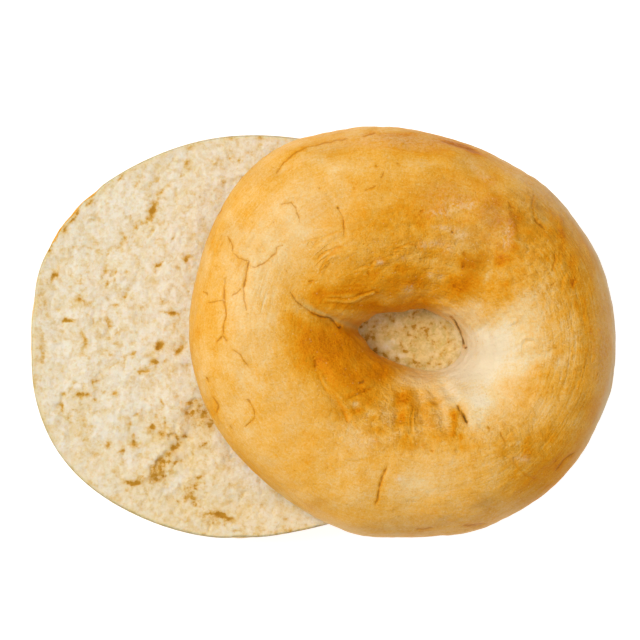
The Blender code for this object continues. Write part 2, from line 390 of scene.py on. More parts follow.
# From here on, routes and spots are where the camera sees them, from the middle of the top half's hole.
cracks = {
    "stray": [(0.22, 1.6, 51)],  # how far cracks stray from their routes
    "width": 0.4,
    "depth": 0.3,
    "reach": 0.9,  # how far from a crack its marking is kept
    # (how strong, route)
    "lines": [
        # the pinch beside the hole
        (0.5, [(-30.7, 11.9), (-29.2, 9.3), (-27.5, 8.1)]),
        (0.35, [(-27.5, 8.1), (-25.6, 6.8)]),
        (0.8, [(-25.6, 6.8), (-24.0, 5.9), (-22.2, 5.4), (-20.4, 5.0), (-19.4, 4.1), (-18.2, 2.8)]),
        # the crust's edge that has lifted at the right of the hole, with a dark line painted along it for the
        # shade of the gap beneath
        (1.0, [(10.2, 5.5), (11.5, 4.2), (12.2, 2.9), (13.0, 1.4), (13.5, -0.5), (13.7, -2.6)]),
        (0.95, [(13.5, -2.6), (14.7, -2.4)]),
        # the far left
        (0.5, [(-47.1, 26.3), (-46.5, 25.3), (-45.8, 23.7), (-45.7, 22.2)]),
        (0.3, [(-45.7, 22.2), (-44.3, 20.7), (-41.5, 19.8)]),
        (0.72, [(-41.5, 19.8), (-42.0, 17.6), (-42.6, 14.7), (-43.1, 12.6)]),
        (0.45, [(-43.1, 12.6), (-42.6, 10.1), (-42.1, 7.2)]),
        (0.35, [(-43.4, 12.7), (-46.1, 10.9)]),
        (0.62, [(-47.9, 15.6), (-48.1, 9.8), (-47.6, 8.3), (-47.4, 5.9), (-48.3, 2.4), (-48.2, 0.8)]),
        (0.5, [(-48.2, 0.8), (-49.9, -1.2)]),
        (0.5, [(-48.2, 0.8), (-47.1, -1.2)]),
        (0.35, [(-52.3, 9.2), (-48.1, 9.8)]),
        (0.5, [(-53.2, 12.1), (-52.4, 11.1)]),
        (0.42, [(-40.7, 18.4), (-39.7, 18.2), (-37.4, 19.5), (-35.8, 20.7), (-34.5, 22.1), (-34.2, 23.4)]),
        (0.35, [(-34.2, 23.4), (-32.8, 24.0)]),
        (0.34, [(-33.3, 34.6), (-30.7, 34.9), (-29.7, 33.8), (-28.9, 32.0), (-28.4, 29.7)]),
        (0.7, [(-48.9, 33.4), (-49.6, 31.9)]),
        (0.35, [(-45.7, -2.8), (-43.4, -4.9), (-41.6, -7.5)]),
        (0.6, [(-52.4, -10.1), (-51.9, -11.4)]),
        (0.55, [(-50.9, -15.0), (-49.6, -17.6), (-49.8, -19.4)]),
        (0.45, [(-42.0, -15.8), (-40.8, -17.6), (-39.8, -19.9)]),
        (0.55, [(-39.8, -19.9), (-41.3, -21.7), (-42.9, -23.0)]),
        (0.5, [(-46.7, -22.5), (-46.0, -23.5)]),
        # above the hole
        (0.3, [(-17.9, 32.9), (-17.7, 31.9)]),
        (0.65, [(-17.3, 31.3), (-17.2, 29.4), (-17.1, 28.0)]),
        (0.35, [(-17.1, 28.0), (-16.9, 25.9)]),
        (0.3, [(-7.7, 41.1), (-6.7, 42.6)]),
        (0.5, [(-34.6, 42.1), (-33.3, 44.4), (-31.0, 46.5), (-28.4, 48.3), (-25.8, 49.3)]),
        (0.45, [(-25.8, 49.3), (-23.2, 50.2), (-20.7, 50.9), (-16.8, 51.5), (-16.0, 51.6)]),
        (0.5, [(-12.4, 51.9), (-10.6, 52.6), (-9.0, 53.2)]),
        (0.62, [(7.8, 51.0), (9.8, 50.4), (12.9, 49.6), (15.5, 48.8), (18.1, 47.6)]),
        (0.4, [(-11.6, 38.0), (-10.1, 38.7), (-8.7, 39.3)]),
        # left of and below the hole
        (0.6, [(-24.4, -5.6), (-24.3, -7.6)]),
        (0.8, [(12.4, -17.6), (12.8, -18.7)]),
        (1.0, [(13.4, -18.8), (14.2, -20.4), (14.8, -22.2)]),
        (0.72, [(-5.9, -32.8), (-7.2, -36.1), (-8.0, -39.0)]),
        (0.72, [(-8.0, -39.0), (-8.3, -41.1), (-9.0, -43.4)]),
        (0.45, [(23.2, -24.0), (24.0, -25.6), (24.5, -27.1)]),
        # towards the right edge
        (0.6, [(25.4, 35.5), (26.1, 34.1), (27.1, 33.6)]),
        (0.72, [(32.0, 31.0), (33.2, 29.7), (34.9, 28.0)]),
        (0.5, [(37.3, 22.2), (37.4, 19.6), (36.7, 17.9), (36.9, 17.4)]),
        (0.3, [(37.2, 14.5), (36.4, 13.4)]),
        (0.65, [(37.7, -34.1), (40.0, -31.2), (42.6, -29.4)]),
        (0.5, [(13.2, -48.5), (19.9, -48.0)]),
        (0.5, [(1.5, -49.6), (5.7, -49.1)]),
        # small dark dots
        (0.95, [(-18.3, 2.9), (-18.1, 2.7)]),
        (0.75, [(-12.6, -11.7), (-11.9, -11.1)]),
        (0.55, [(2.5, 32.8), (3.1, 32.8)]),
        (0.85, [(10.8, 27.2), (11.0, 27.1)]),
        (0.6, [(13.9, 21.9), (13.9, 21.5)]),
        (0.5, [(13.7, 19.6), (13.9, 17.8)]),
        (0.8, [(-18.5, 33.7), (-18.4, 33.5)]),
        (0.4, [(-23.5, 38.8), (-23.4, 38.6)]),
        (0.4, [(-14.5, 38.8), (-14.4, 38.6)]),
        (0.45, [(-8.8, 44.5), (-8.5, 44.4)]),
        (0.4, [(-3.2, 45.0), (-2.9, 44.9)]),
        (0.6, [(-8.7, 12.0), (-8.4, 11.8)]),
        (0.5, [(-10.9, 16.8), (-10.7, 16.6)]),
        (0.5, [(11.5, 13.5), (11.7, 13.3)]),
        (0.6, [(5.5, -29.0), (5.8, -29.2)]),
        (0.5, [(20.2, -23.0), (20.4, -23.3)]),
        (0.6, [(-25.9, 14.6), (-25.3, 14.9)]),
    ],
}
# sharp folds of the skin, each with its raised side on the left of its route: (how strong, route)
folds = [
    # above the hole
    (0.8, [(2.8, 23.2), (0.8, 24.0), (-0.5, 24.3), (-2.6, 23.5), (-4.6, 22.6)]),
    (0.5, [(-2.3, 22.1), (-4.9, 21.3), (-7.5, 20.5), (-8.8, 20.4)]),
    (1.0, [(-8.0, 12.8), (-10.3, 12.0), (-12.4, 11.4), (-15.0, 10.5), (-17.6, 10.1), (-19.9, 10.4),
           (-22.2, 10.5)]),
    (0.9, [(-16.8, 23.6), (-18.8, 23.4), (-21.2, 22.6), (-23.0, 21.4), (-24.3, 19.9)]),
    (0.75, [(-18.6, 22.1), (-20.7, 21.3), (-21.9, 19.8), (-23.0, 17.7), (-23.4, 16.0)]),
    (0.6, [(-17.3, 27.9), (-19.4, 27.1), (-21.9, 26.3), (-25.3, 25.3), (-28.7, 24.5)]),
    (0.45, [(-22.7, 25.2), (-24.5, 23.9), (-25.6, 22.5)]),
    (0.4, [(-20.1, 19.6), (-21.4, 18.1), (-22.5, 16.3)]),
    (0.6, [(-8.5, 20.8), (-9.7, 19.2), (-10.1, 17.9)]),
    (0.6, [(-10.3, 18.2), (-11.7, 18.4), (-13.2, 18.1)]),
    # left of and in front of it
    (0.6, [(-23.9, -9.2), (-22.6, -12.1), (-21.4, -13.6)]),
    (0.8, [(-19.4, -15.0), (-17.8, -17.3), (-16.8, -19.9), (-15.8, -22.2)]),
    (0.55, [(-16.0, -16.2), (-12.9, -14.4), (-11.0, -13.4), (-9.0, -12.9)]),
    (0.5, [(-0.1, -18.8), (-0.6, -20.7), (-0.6, -23.0)]),
    (0.7, [(0.9, -18.8), (0.4, -20.9), (0.3, -24.3)]),
    (0.6, [(-1.8, -23.9), (-0.5, -25.8), (0.6, -28.7)]),
    (0.4, [(2.3, -18.8), (2.2, -21.4)]),
    (0.4, [(-17.0, -31.6), (-14.0, -31.9), (-10.6, -31.0)]),
    # towards the right
    (0.7, [(32.2, 31.2), (31.6, 34.0), (31.9, 37.2)]),
    (0.55, [(29.0, -5.9), (28.9, -1.9), (30.0, -0.5), (31.7, -0.6), (32.2, -1.7)]),
    (0.5, [(26.3, 2.9), (27.7, 3.9)]),
    (0.5, [(26.6, -30.7), (27.9, -33.6), (30.5, -35.9), (33.0, -36.7)]),
    (0.5, [(38.6, 22.4), (38.8, 19.4), (38.2, 17.6)]),
    (0.4, [(40.4, 17.0), (39.0, 14.6), (38.8, 11.4)]),
    (0.35, [(43.4, 16.2), (42.0, 14.0), (41.4, 10.8)]),
    (0.35, [(36.6, 11.0), (36.2, 7.6), (36.6, 4.4)]),
    (0.35, [(45.2, 9.2), (44.8, 6.0), (45.2, 2.8)]),
    (0.3, [(33.8, 13.6), (34.6, 10.4), (34.0, 6.6)]),
    (0.3, [(41.8, 4.8), (41.2, 0.6), (41.8, -4.2)]),
]
# broader folds and ridges: (route, half width, height)
wrinkles = [
    ([(-22.4, 10.8), (-19.4, 10.5), (-16.8, 10.1), (-14.2, 10.5), (-11.6, 11.6), (-7.7, 13.1)], 0.8, 0.3),
    ([(-23.2, 15.2), (-22.6, 18.9), (-20.0, 21.0), (-16.8, 22.0), (-13.0, 22.6)], 1.1, 0.35),
    ([(-12.2, 21.2), (-8.6, 19.7), (-4.5, 20.3), (-1.0, 21.8)], 1.2, 0.3),
    ([(-23.9, -7.9), (-22.0, -11.6), (-19.4, -14.2), (-17.0, -16.9), (-15.0, -19.8), (-13.9, -22.4)],
     0.7, 0.5),
    ([(32.0, 37.6), (31.9, 32.2), (34.9, 28.6)], 0.55, 0.25),
    ([(25.6, 34.3), (27.9, 29.2), (28.9, 24)], 1.0, -0.5),
    ([(-1.8, -14.5), (-0.9, -19), (-0.6, -24)], 1.6, 0.45),
    ([(5.2, -16.5), (5.8, -21), (6.6, -25)], 1.4, 0.3),
    ([(12.1, -17.6), (11.6, -22.2), (10.9, -26.5)], 1.2, 0.4),
    ([(2.9, -17.5), (3.0, -21), (3.0, -25)], 0.8, -0.25),
    ([(8.6, -18), (8.6, -21.5), (8.8, -25)], 0.9, -0.25),
    ([(13.2, -18.0), (14.2, -20.4), (15.2, -23.4)], 0.7, -0.45),
]
# (x, y, half length, half width, heading in degrees, how much browner)
topBrowning = [
    (-17.5, -5.0, 15.5, 8.2, -27, 0.36),  # the lobe left of the hole
    (-19.0, -1.5, 8, 4, -35, 0.05),
    (-3, 10.6, 16, 5.0, 5, 0.22),  # the hole's upper wall
    (-5, 18.5, 16, 6, 8, 0.08),
    (26.6, 30, 3, 7, 10, 0.06),
    (38, 26, 9, 6, -50, 0.08),  # the right side
    (32, -30, 14, 7, 42, 0.10),
    (8, -36, 16, 6, 0, -0.06),
    (-50.5, 14, 4, 14, 4, 0.10),  # the left side
    (-50.0, 24.6, 2.0, 3.0, 0, 0.12),
    (-44.5, 20.6, 2.6, 1.5, -30, 0.12),
    (-42.6, 30.7, 5, 3, 40, 0.12),
    (-48, -24, 3.5, 12, 28, 0.12),
    (4, 49, 22, 4, -6, 0.16),
    (0, 40, 22, 7, -5, 0.12),
    (24, 18, 11, 9, 30, 0.10),
    (19, -3.2, 14.5, 8.2, -3, -0.60),  # the pale stretched dough right of the hole
    (13, -12, 11, 6, -20, -0.45),
    (17.0, -19.0, 3.4, 4.6, 15, -0.30),
    (3, -12, 8, 3.0, -5, -0.22),
    (15, 6, 6, 4, 20, -0.30),
    (27, 6.5, 9, 3, 42, -0.20),
    (-28.4, 27.9, 14, 8, 20, -0.14),
    (-38, 6, 5, 14, 5, -0.12),
    (-36, -20, 10, 8, -30, -0.04),
]
# smaller patches in the photograph's pixels: (x, y, half length, half width, heading, how much browner)
brownPatches = [
    (517, 221, 13, 7, 85, 0.24), (500, 198, 14, 9, -10, 0.12), (515, 247, 5, 4, 0, 0.18),
    (499, 261, 8, 5, 72, 0.3), (506, 283, 5, 4, 0, 0.14), (510, 296, 5, 4, 0, 0.13),
    (530, 238, 10, 5, 80, 0.07), (547, 258, 4, 5, 0, 0.16), (562, 240, 5, 22, 0, 0.14),
    (555, 233, 8, 5, 0, 0.06), (574, 272, 5, 20, 10, 0.13), (584, 312, 5, 20, 5, 0.12),
    (572, 283, 3.4, 4.4, 0, 0.16), (577, 306, 5, 3.5, 0, 0.08), (484, 258, 7, 12, 0, 0.10),
    (487, 277, 8, 3, 60, -0.25), (470, 262, 10, 5, 0, 0.16), (459, 284, 13, 11, 30, 0.22),
    (463, 266, 4.4, 1.8, 92, 0.25), (403, 268, 12, 6, 0, 0.18), (415, 282, 12, 9, 0, 0.2),
    (436, 290, 14, 8, 0, 0.1), (345, 305, 16, 5, -5, 0.28), (375, 304, 14, 6, 0, 0.2),
    (415, 302, 22, 6, 2, 0.2), (345, 292, 20, 2.4, 3, 0.22), (345, 286.5, 18, 1.2, 3, 0.14),
    (395, 290, 8, 6, 0, 0.12), (403, 399, 9, 7, 10, 0.3), (396, 404, 6, 4, 35, 0.18),
    (412, 407, 2.6, 5, 0, 0.14), (402, 418, 5.5, 9, 0, 0.22), (396, 425, 4, 6, 0, 0.14),
    (430, 404, 6, 2.6, 0, 0.2), (433, 420, 4.5, 12, 0, 0.1), (433, 436, 5, 4.5, 0, 0.14),
    (427, 414, 1.5, 6, 0, 0.08), (454, 413, 4, 4.6, 0, 0.26), (454.5, 424, 3.2, 9, 0, 0.26),
    (453, 434, 3, 3, 0, 0.2), (461, 436, 3, 4, 0, 0.2), (442, 420, 3, 8, 0, 0.08),
    (355, 393, 12, 2.2, 28, 0.2), (372, 403, 6, 5, 0, 0.14), (357, 411, 8, 3.4, 0, 0.24),
    (373, 418, 6, 3.4, -20, 0.14), (377, 430, 8, 4.4, 0, 0.1), (356, 404, 4, 3, 0, -0.2),
    (385, 375, 10, 9, 0, 0.16), (365, 377, 20, 9, -10, 0.1), (503, 452, 5, 5, 0, 0.16),
    (463, 448, 6, 4, 0, 0.1), (497, 443, 4, 5, 0, 0.1), (527, 447, 5, 13, -5, 0.18),
    (540, 371, 12, 6, 0, 0.1), (538, 350, 5, 4, 0, 0.08), (480, 409, 4, 2.6, 0, 0.12),
    (480, 404, 15, 14, 0, -0.12), (470, 420, 5, 8, 10, -0.15), (414, 392, 20, 7, 0, 0.16),
    (436, 395, 8, 8, 0, 0.12), (418, 415, 3, 8, 0, -0.08), (447, 425, 2, 9, 0, -0.06),
]
# broader places made browner or paler, in the photograph's pixels; the paler ones along the left edge and on
# the hole's upper wall are painted light against the shade there
toneAndLightZones = [
    (365, 222, 38, 16, -10, 0.14), (425, 225, 32, 18, 0, 0.09), (330, 165, 32, 11, -8, -0.13),
    (240, 275, 26, 50, -8, -0.10), (275, 262, 22, 22, 0, -0.07), (238, 350, 16, 50, 0, -0.07),
    (235, 430, 18, 14, -40, -0.10), (318, 294, 16, 8, 10, 0.22), (292, 322, 12, 9, 0, 0.15),
    (352, 289, 16, 7, 0, 0.10), (412, 291, 20, 8, 0, -0.14), (440, 294, 12, 8, 0, -0.08),
    (471, 262, 14, 12, 0, 0.20), (472, 292, 14, 12, 0, 0.12), (500, 290, 14, 12, 0, 0.10),
    (440, 255, 14, 12, 0, 0.10), (472, 320, 16, 10, 10, 0.22), (500, 322, 14, 10, 0, 0.12),
    (532, 320, 12, 14, 0, -0.08), (560, 285, 12, 30, 0, 0.08), (470, 350, 16, 12, 0, 0.08),
    (382, 381, 12, 8, 0, -0.12), (440, 382, 18, 10, 0, 0.26), (472, 385, 16, 14, 0, 0.17),
    (545, 385, 26, 14, 0, 0.13), (412, 412, 14, 10, 0, 0.14), (472, 412, 14, 12, 0, 0.15),
    (335, 412, 30, 14, 0, 0.08), (262, 412, 12, 14, 0, 0.12), (412, 441, 16, 9, 0, 0.25),
    (455, 442, 26, 9, 0, 0.10), (320, 441, 20, 10, 0, 0.08), (412, 488, 24, 16, 0, -0.12),
    (470, 470, 16, 10, 0, 0.08), (400, 134, 24, 2.2, 0, 0.22), (465, 148, 22, 2.8, -22, 0.28),
    (305, 147, 26, 3, 22, 0.10), (345, 165, 30, 12, -8, -0.06), (395, 290, 30, 14, 0, -0.06),
    (340, 360, 34, 16, -30, -0.06), (260, 285, 26, 30, 0, -0.05), (325, 160, 26, 9, 15, 0.10),
    (425, 160, 60, 8, -5, -0.07), (265, 175, 26, 14, 0, -0.04), (485, 178, 14, 12, 0, 0.08),
    (492, 212, 14, 18, 0, 0.07), (322, 224, 14, 22, 0, 0.11), (310, 275, 16, 30, 0, 0.05),
    (208, 270, 8, 30, 0, -0.05), (462, 345, 14, 60, 0, 0.08), (425, 382, 24, 12, 0, 0.11),
    (458, 420, 10, 14, 0, 0.11), (500, 420, 8, 8, 0, -0.07), (572, 425, 14, 12, 0, -0.06),
    (280, 438, 14, 12, 0, 0.08), (385, 478, 30, 26, 0, -0.05), (345, 400, 16, 24, 0, 0.05),
    (540, 290, 14, 10, 0, 0.04), (540, 370, 14, 14, 0, 0.05), (470, 460, 12, 8, 0, 0.05),
    (420, 215, 40, 10, 0, 0.04), (540, 440, 10, 8, 0, -0.05), (385, 172, 12, 10, 0, -0.04),
    (222, 270, 14, 50, -8, -0.07), (222, 422, 12, 26, -20, -0.10), (203, 372, 8, 40, 0, -0.05),
    (288, 205, 22, 14, 0, -0.06), (405, 165, 44, 11, 0, -0.04), (362, 279, 26, 8, 0, 0.06),
    (315, 338, 18, 12, 0, 0.05), (460, 300, 10, 10, 0, 0.06), (345, 392, 26, 26, 0, 0.05),
    (495, 456, 32, 14, 0, 0.06), (592, 352, 12, 20, 0, 0.06), (280, 300, 12, 10, 0, 0.05),
    (578, 412, 12, 14, 0, -0.04), (400, 301, 26, 5, 0, -0.16), (490, 210, 14, 12, 0, 0.06),
    (600, 285, 8, 22, 0, -0.08), (440, 420, 9, 8, 0, -0.08), (420, 440, 10, 8, 0, -0.07),
    (362, 370, 10, 14, 0, -0.05), (380, 180, 14, 12, 0, -0.04), (262, 180, 12, 12, 0, -0.04),
    (484, 502, 12, 9, 0, 0.04), (440, 400, 9, 8, 0, 0.05), (205, 250, 8, 26, 0, -0.10),
    (222, 340, 8, 70, 0, -0.05), (400, 300, 30, 6, 0, -0.07), (362, 330, 8, 16, 0, -0.07),
    (392, 392, 16, 14, 0, -0.06), (470, 281, 14, 8, 0, 0.07), (320, 300, 12, 8, 0, 0.09),
    (345, 336, 14, 8, -25, 0.07), (440, 205, 50, 18, 0, 0.05), (365, 280, 36, 8, 0, 0.06),
    (500, 222, 8, 8, 0, 0.05), (255, 225, 16, 24, 0, -0.05), (275, 165, 24, 10, 0, -0.04),
    (460, 160, 14, 8, 0, -0.05), (522, 180, 10, 10, -40, -0.05), (603, 283, 8, 20, 0, -0.05),
    (380, 178, 12, 8, 0, -0.04), (490, 182, 14, 9, 0, 0.05), (392, 408, 20, 14, 0, -0.05),
    (440, 422, 10, 9, 0, -0.06), (420, 440, 10, 9, 0, -0.05), (315, 345, 20, 14, 0, 0.05),
    (600, 285, 8, 16, 0, -0.04), (298, 300, 9, 8, 0, -0.05), (540, 320, 10, 9, 0, -0.06),
    (572, 430, 14, 12, 0, -0.04), (360, 442, 10, 9, 0, -0.04), (342, 520, 10, 9, 0, -0.05),
    (204, 380, 6, 22, 0, -0.08), (360, 490, 14, 30, 0, -0.05), (340, 402, 10, 9, 0, -0.05),
    (320, 420, 8, 8, 0, 0.05), (570, 430, 14, 14, 0, -0.04), (318, 338, 12, 8, 0, 0.05),
    (540, 302, 10, 9, 0, -0.05), (500, 421, 9, 9, 0, -0.05), (540, 440, 9, 9, 0, -0.05),
]
# where the crust is darker without being browner, in the photograph's pixels: painted shade along the edges
# that turn away from the light, and simply darker in the other places
dullAndShadeZones = [
    (415, 140, 46, 8, -4, 0.55), (470, 165, 22, 14, -40, 0.6), (528, 208, 22, 20, -45, 0.6),
    (480, 236, 16, 12, 0, 0.4), (472, 262, 16, 14, 0, 0.9), (472, 292, 12, 12, 0, 0.4),
    (475, 350, 14, 14, 0, 0.4), (470, 380, 16, 16, 0, 0.4), (530, 498, 24, 10, 35, 0.5),
    (395, 530, 40, 6, 0, 0.5), (320, 503, 16, 8, 0, 0.4), (517, 221, 12, 8, 85, 0.5),
    (530, 200, 10, 22, 40, 0.3), (492, 208, 16, 18, 0, 0.5), (330, 150, 26, 12, 15, 0.4),
    (260, 175, 26, 14, 0, 0.3), (230, 232, 12, 14, 0, 0.3), (462, 345, 12, 40, 0, 0.2),
    (495, 352, 14, 10, 0, 0.3), (498, 220, 13, 12, 0, 0.7), (462, 236, 14, 10, 0, 0.5),
    (522, 242, 9, 9, 0, 0.6), (440, 190, 32, 13, 0, 0.35), (320, 205, 12, 14, 0, 0.3),
    (484, 502, 14, 10, 0, 0.8), (490, 210, 12, 12, 0, 0.3), (440, 520, 44, 8, 0, 0.4),
    (580, 402, 10, 14, 0, 0.4), (315, 338, 14, 12, 0, 0.35), (598, 350, 8, 16, 0, 0.2),
]
# where flour or a dull skin greys the crust, and painted glare and highlights where the light catches it,
# with no gaps where the amount is over 1: (x, y, half length, half width, heading, amount)
topFlourAndGlare = [
    (11, 35.5, 8, 5, -10, 0.35),
    (22, 29, 4, 7, 5, 0.25),
    (18.5, 43.0, 7, 1.3, -45, 0.35),
    (14, -46, 22, 4, 6, 0.35),
    (30, 41, 16, 3.0, -42, 0.45),
    (-4, 51, 20, 2.4, -2, 0.5),
    (50, -2, 3, 20, -3, 0.4),
    (28, -16, 5, 5, 0, 0.2),
    (-26, 30, 9, 6, 20, 0.2),
]
# more of it, in the photograph's pixels
flourAndGlarePatches = [
    (507, 238, 12, 4, 88, 0.9), (512, 228, 3, 10, 0, 0.3), (440, 213, 12, 3, 0, 0.8),
    (456, 205, 9, 4, 0, 0.8), (470, 205, 4, 4, 0, 1.0), (446, 228, 13, 2.6, -5, 1.0),
    (460, 235, 8, 4, -10, 1.0), (425, 245, 7, 3.4, 0, 0.6), (438, 243, 9, 3.4, 0, 0.7),
    (448, 250, 6, 5, 0, 0.5), (430, 275, 3, 3, 0, 0.8), (441, 277, 3, 2, 0, 0.8),
    (408, 290, 5, 3.6, 0, 0.9), (412, 286, 2, 1.6, 0, 1.2), (380, 262, 4, 3.4, 0, 0.9),
    (404, 258, 3, 2, 0, 0.7), (357, 443, 10, 8, 0, 0.6), (372, 441, 6, 5, 0, 0.5),
    (399.5, 478.5, 5, 3.4, -10, 1.5), (478, 172, 18, 4, -45, 0.3), (345, 425, 8, 4, 0, 0.3),
    (356, 405, 4, 3, 0, 0.5), (522, 459, 8, 4, 0, 0.7),
]
# the greyish stretched skin along the pinch, in the photograph's pixels
scars = [
    (308, 307, 6, 3, -25, 1.1), (320, 312.5, 9, 1.8, -22, 1.0), (334, 318.5, 8, 1.8, -25, 1.0),
    (350, 325, 10, 2.8, -22, 1.1), (296, 300, 5, 1.2, -50, 0.6),
]
# where the skin is most mottled and wrinkled, in the photograph's pixels
mottledPatches = [
    (535, 245, 45, 60, 0, 0.9), (430, 250, 75, 45, 0, 0.7), (420, 425, 80, 32, 0, 0.9),
    (520, 445, 40, 32, 0, 0.6), (560, 350, 34, 50, 0, 0.5), (370, 400, 40, 30, 0, 0.3),
    (235, 250, 25, 30, 0, 0.4),
]
# where fine streaks along the ring show most
topStreaks = [
    (41, 12, 7, 22, 4, 0.9), (-37, 10, 4, 5, 0, 1.0), (30, -30, 12, 8, 40, 0.4), (40, -14, 8, 14, 0, 0.4),
]


def spread(x, y, spots, edge=1.3):  # adds up soft-edged ovals
    total = np.zeros(len(x))
    for middleX, middleY, length, width, heading, amount in spots:
        cosine, sine = math.cos(math.radians(heading)), math.sin(math.radians(heading))
        lengthwise = ((x - middleX) * cosine + (y - middleY) * sine) / length
        crosswise = (-(x - middleX) * sine + (y - middleY) * cosine) / width
        total += amount * np.exp(-(lengthwise**2 + crosswise**2) ** edge)
    return total


# How a crack or fold fades, and what is painted where there is none near.
lineFade = {
    "dotLength": 1.2,  # a shorter line is a dot, which doesn't fade at its ends
    "ends": 0.2,  # what is left of a line at its ends
    "rise": 7,  # how fast it gets stronger from there
    "fullTo": 0.6,  # the share of its reach to which a line keeps its strength
    "farthest": 9.0,
    "noSide": 3.0,
    "noOffset": (2.0, 0.0, 0.0),
}


def nearestLine(x, y, lines, reach):
    # how strong the nearest line is at each place, and how the place lies from it
    nearest = np.full(len(x), lineFade["farthest"])
    strength = np.zeros(len(x))
    sideways = np.full(len(x), lineFade["noSide"])
    offset = np.tile(lineFade["noOffset"], (len(x), 1))
    for strong, route in lines:
        away, along, side, apart = distanceToRoute(x, y, route)
        isDot = math.dist(route[0], route[-1]) < lineFade["dotLength"]
        fade = 1 if isDot else np.clip(lineFade["rise"] * along * (1 - along) + lineFade["ends"], 0, 1)
        closer = away < nearest
        nearest = np.where(closer, away, nearest)
        kept = 1 - step(lineFade["fullTo"] * reach, reach, away)
        strength = np.where(closer, strong * fade * kept, strength)
        sideways = np.where(closer, away * side, sideways)
        offset[closer, :2] = apart[closer]
    return strength, sideways, offset


# The top half's skin. Unevenness is given as (height, size, seed), with the size in millimetres.
topSkin = {
    "sectors": 624,  # points round the ring
    "rings": 154,  # rows over it, from cut edge to cut edge
    "foldStray": [(0.25, 4.0, 53)],  # how far folds stray from their routes
    "foldReach": 1.6,  # how far from a fold its marking is kept
    "foldGroove": (0.12, 0.5),  # depth and half width
    "foldRidge": (0.2, 0.7, 0.9),  # height, half width and how far beside the fold it stands
    "own": [(0.22, 6.5, 62)],  # the skin's own unevenness
    "steepShare": 0.4,  # what is left of it on the steep sides
    "drawnOut": [(0.12, 3.2, 63)],  # more of it, drawn out round the ring when the dough was rolled
    "drawn": (2.6, 2.6, 1.0),  # by how much
    "fine": (2.0, 64),  # the size and seed of the fine wrinkling
    "fineHeight": 0.05,
    "fineMottled": 0.07,  # how much higher it is where the skin is mottled
    "mottled": 0.25,  # how mottled and streaky plain skin is
    "streaky": 0.45,
    "cutFade": (0.15, 3.0),  # the share of the relief at the cut, and over how far it grows by all of it
    "bake": 0.52,  # how brown plain skin is, from raw dough at 0 to dark brown at 1
    "bakeNoise": [(0.05, 13.0, 71), (0.05, 4.5, 72)],
    "bakeMost": 0.88,
    # places round the hole: none of it past the first angle from the heading, all of it within the second
    "rightRim": {"heading": -8, "within": (75, 30), "from": (38, 50), "browner": 0.14},
    "holeWall": {"heading": 0, "within": (60, 30), "below": (2.6, 0.8), "paler": 0.3},
    "limb": {"heading": 10, "within": (54, 26)},  # the right edge, where a painted sheen stands for the white surroundings reflected at a grazing angle
    "limbPaintedSheen": [(0.6, 1.4, -0.6), (0.16, 4.5, 0.5)],  # (amount, from and to how far inside the outline)
    "limbShine": (0.3, 9, 3),  # amount, from and to which height above the cut
    "paleShine": (0.15, 0.72, 0.5),  # amount, from and to how brown
    # what is painted in the recess, where the skin can't be seen
    "recess": {"bake": 0.5, "dust": 0, "scar": 0, "dull": 0, "crackNear": 0, "foldNear": 0},
}
# Stretch marks that fan out from the hole on its right.
stretchMarks = {
    "fanMiddle": (6.0, -3.5),
    "heading": (14, 38),  # the middle heading, and how many degrees to each side
    "starts": (9, 14),  # how far out they begin, and are in full
    "ends": (28, 44),  # and how far out they begin to fade, and are gone
    "apart": 3.4,  # in degrees
    "bend": 0.9,  # degrees for each millimetre outwards
    "long": 11,
    "seed": 61,
    "height": 0.12,
    "browner": 0.08,
}


def facing(fromHole, place):  # 1 towards a place's heading, and 0 well away from it
    return step(*place["within"], np.abs(turnedFrom(fromHole, place["heading"])))


def broadRelief(points, lift, half):  # the relief that the solid has too
    height, size = crustShell["lumps"]
    x, y = points[:, 0], points[:, 1]
    out = uneven(points, [(height, size, half["seed"])])
    if half is bottom:
        return out * np.clip(lift / crustShell["reliefStarts"], 0, 1)
    for crease in topCreases:
        away, along, *_ = distanceToRoute(x, y, crease["route"])
        out -= crease["depth"] * (1 - along**2) * bell(away, crease["width"])
    for heading in frontFolds["headings"]:
        way = Vector((math.cos(math.radians(heading)), math.sin(math.radians(heading))))
        ends = [way * frontFolds["start"], way * (frontFolds["start"] + frontFolds["length"])]
        away, along, *_ = distanceToRoute(x, y, ends)
        out -= frontFolds["depth"] * (1 - along**2) * bell(away, frontFolds["width"])
    for middleX, middleY, radius, height in swellings:
        out += height * bell(np.hypot(x - middleX, y - middleY), radius)
    return out * np.clip(lift / crustShell["reliefStarts"], 0, 1)


def stretchStreaks(x, y):  # the streaks, which show only where the skin is stretched
    fanX, fanY = x - stretchMarks["fanMiddle"][0], y - stretchMarks["fanMiddle"][1]
    heading = np.degrees(np.arctan2(fanY, fanX))
    reach = np.hypot(fanX, fanY)
    middle, toEachSide = stretchMarks["heading"]
    stretched = bell(heading - middle, toEachSide)
    stretched = stretched * step(*stretchMarks["starts"], reach) * (1 - step(*stretchMarks["ends"], reach))
    turned = (heading - stretchMarks["bend"] * reach) / stretchMarks["apart"]
    fan = np.stack([turned, reach / stretchMarks["long"], np.zeros(len(x))], axis=1)
    return stretched * bumps(fan, 1.0, stretchMarks["seed"])


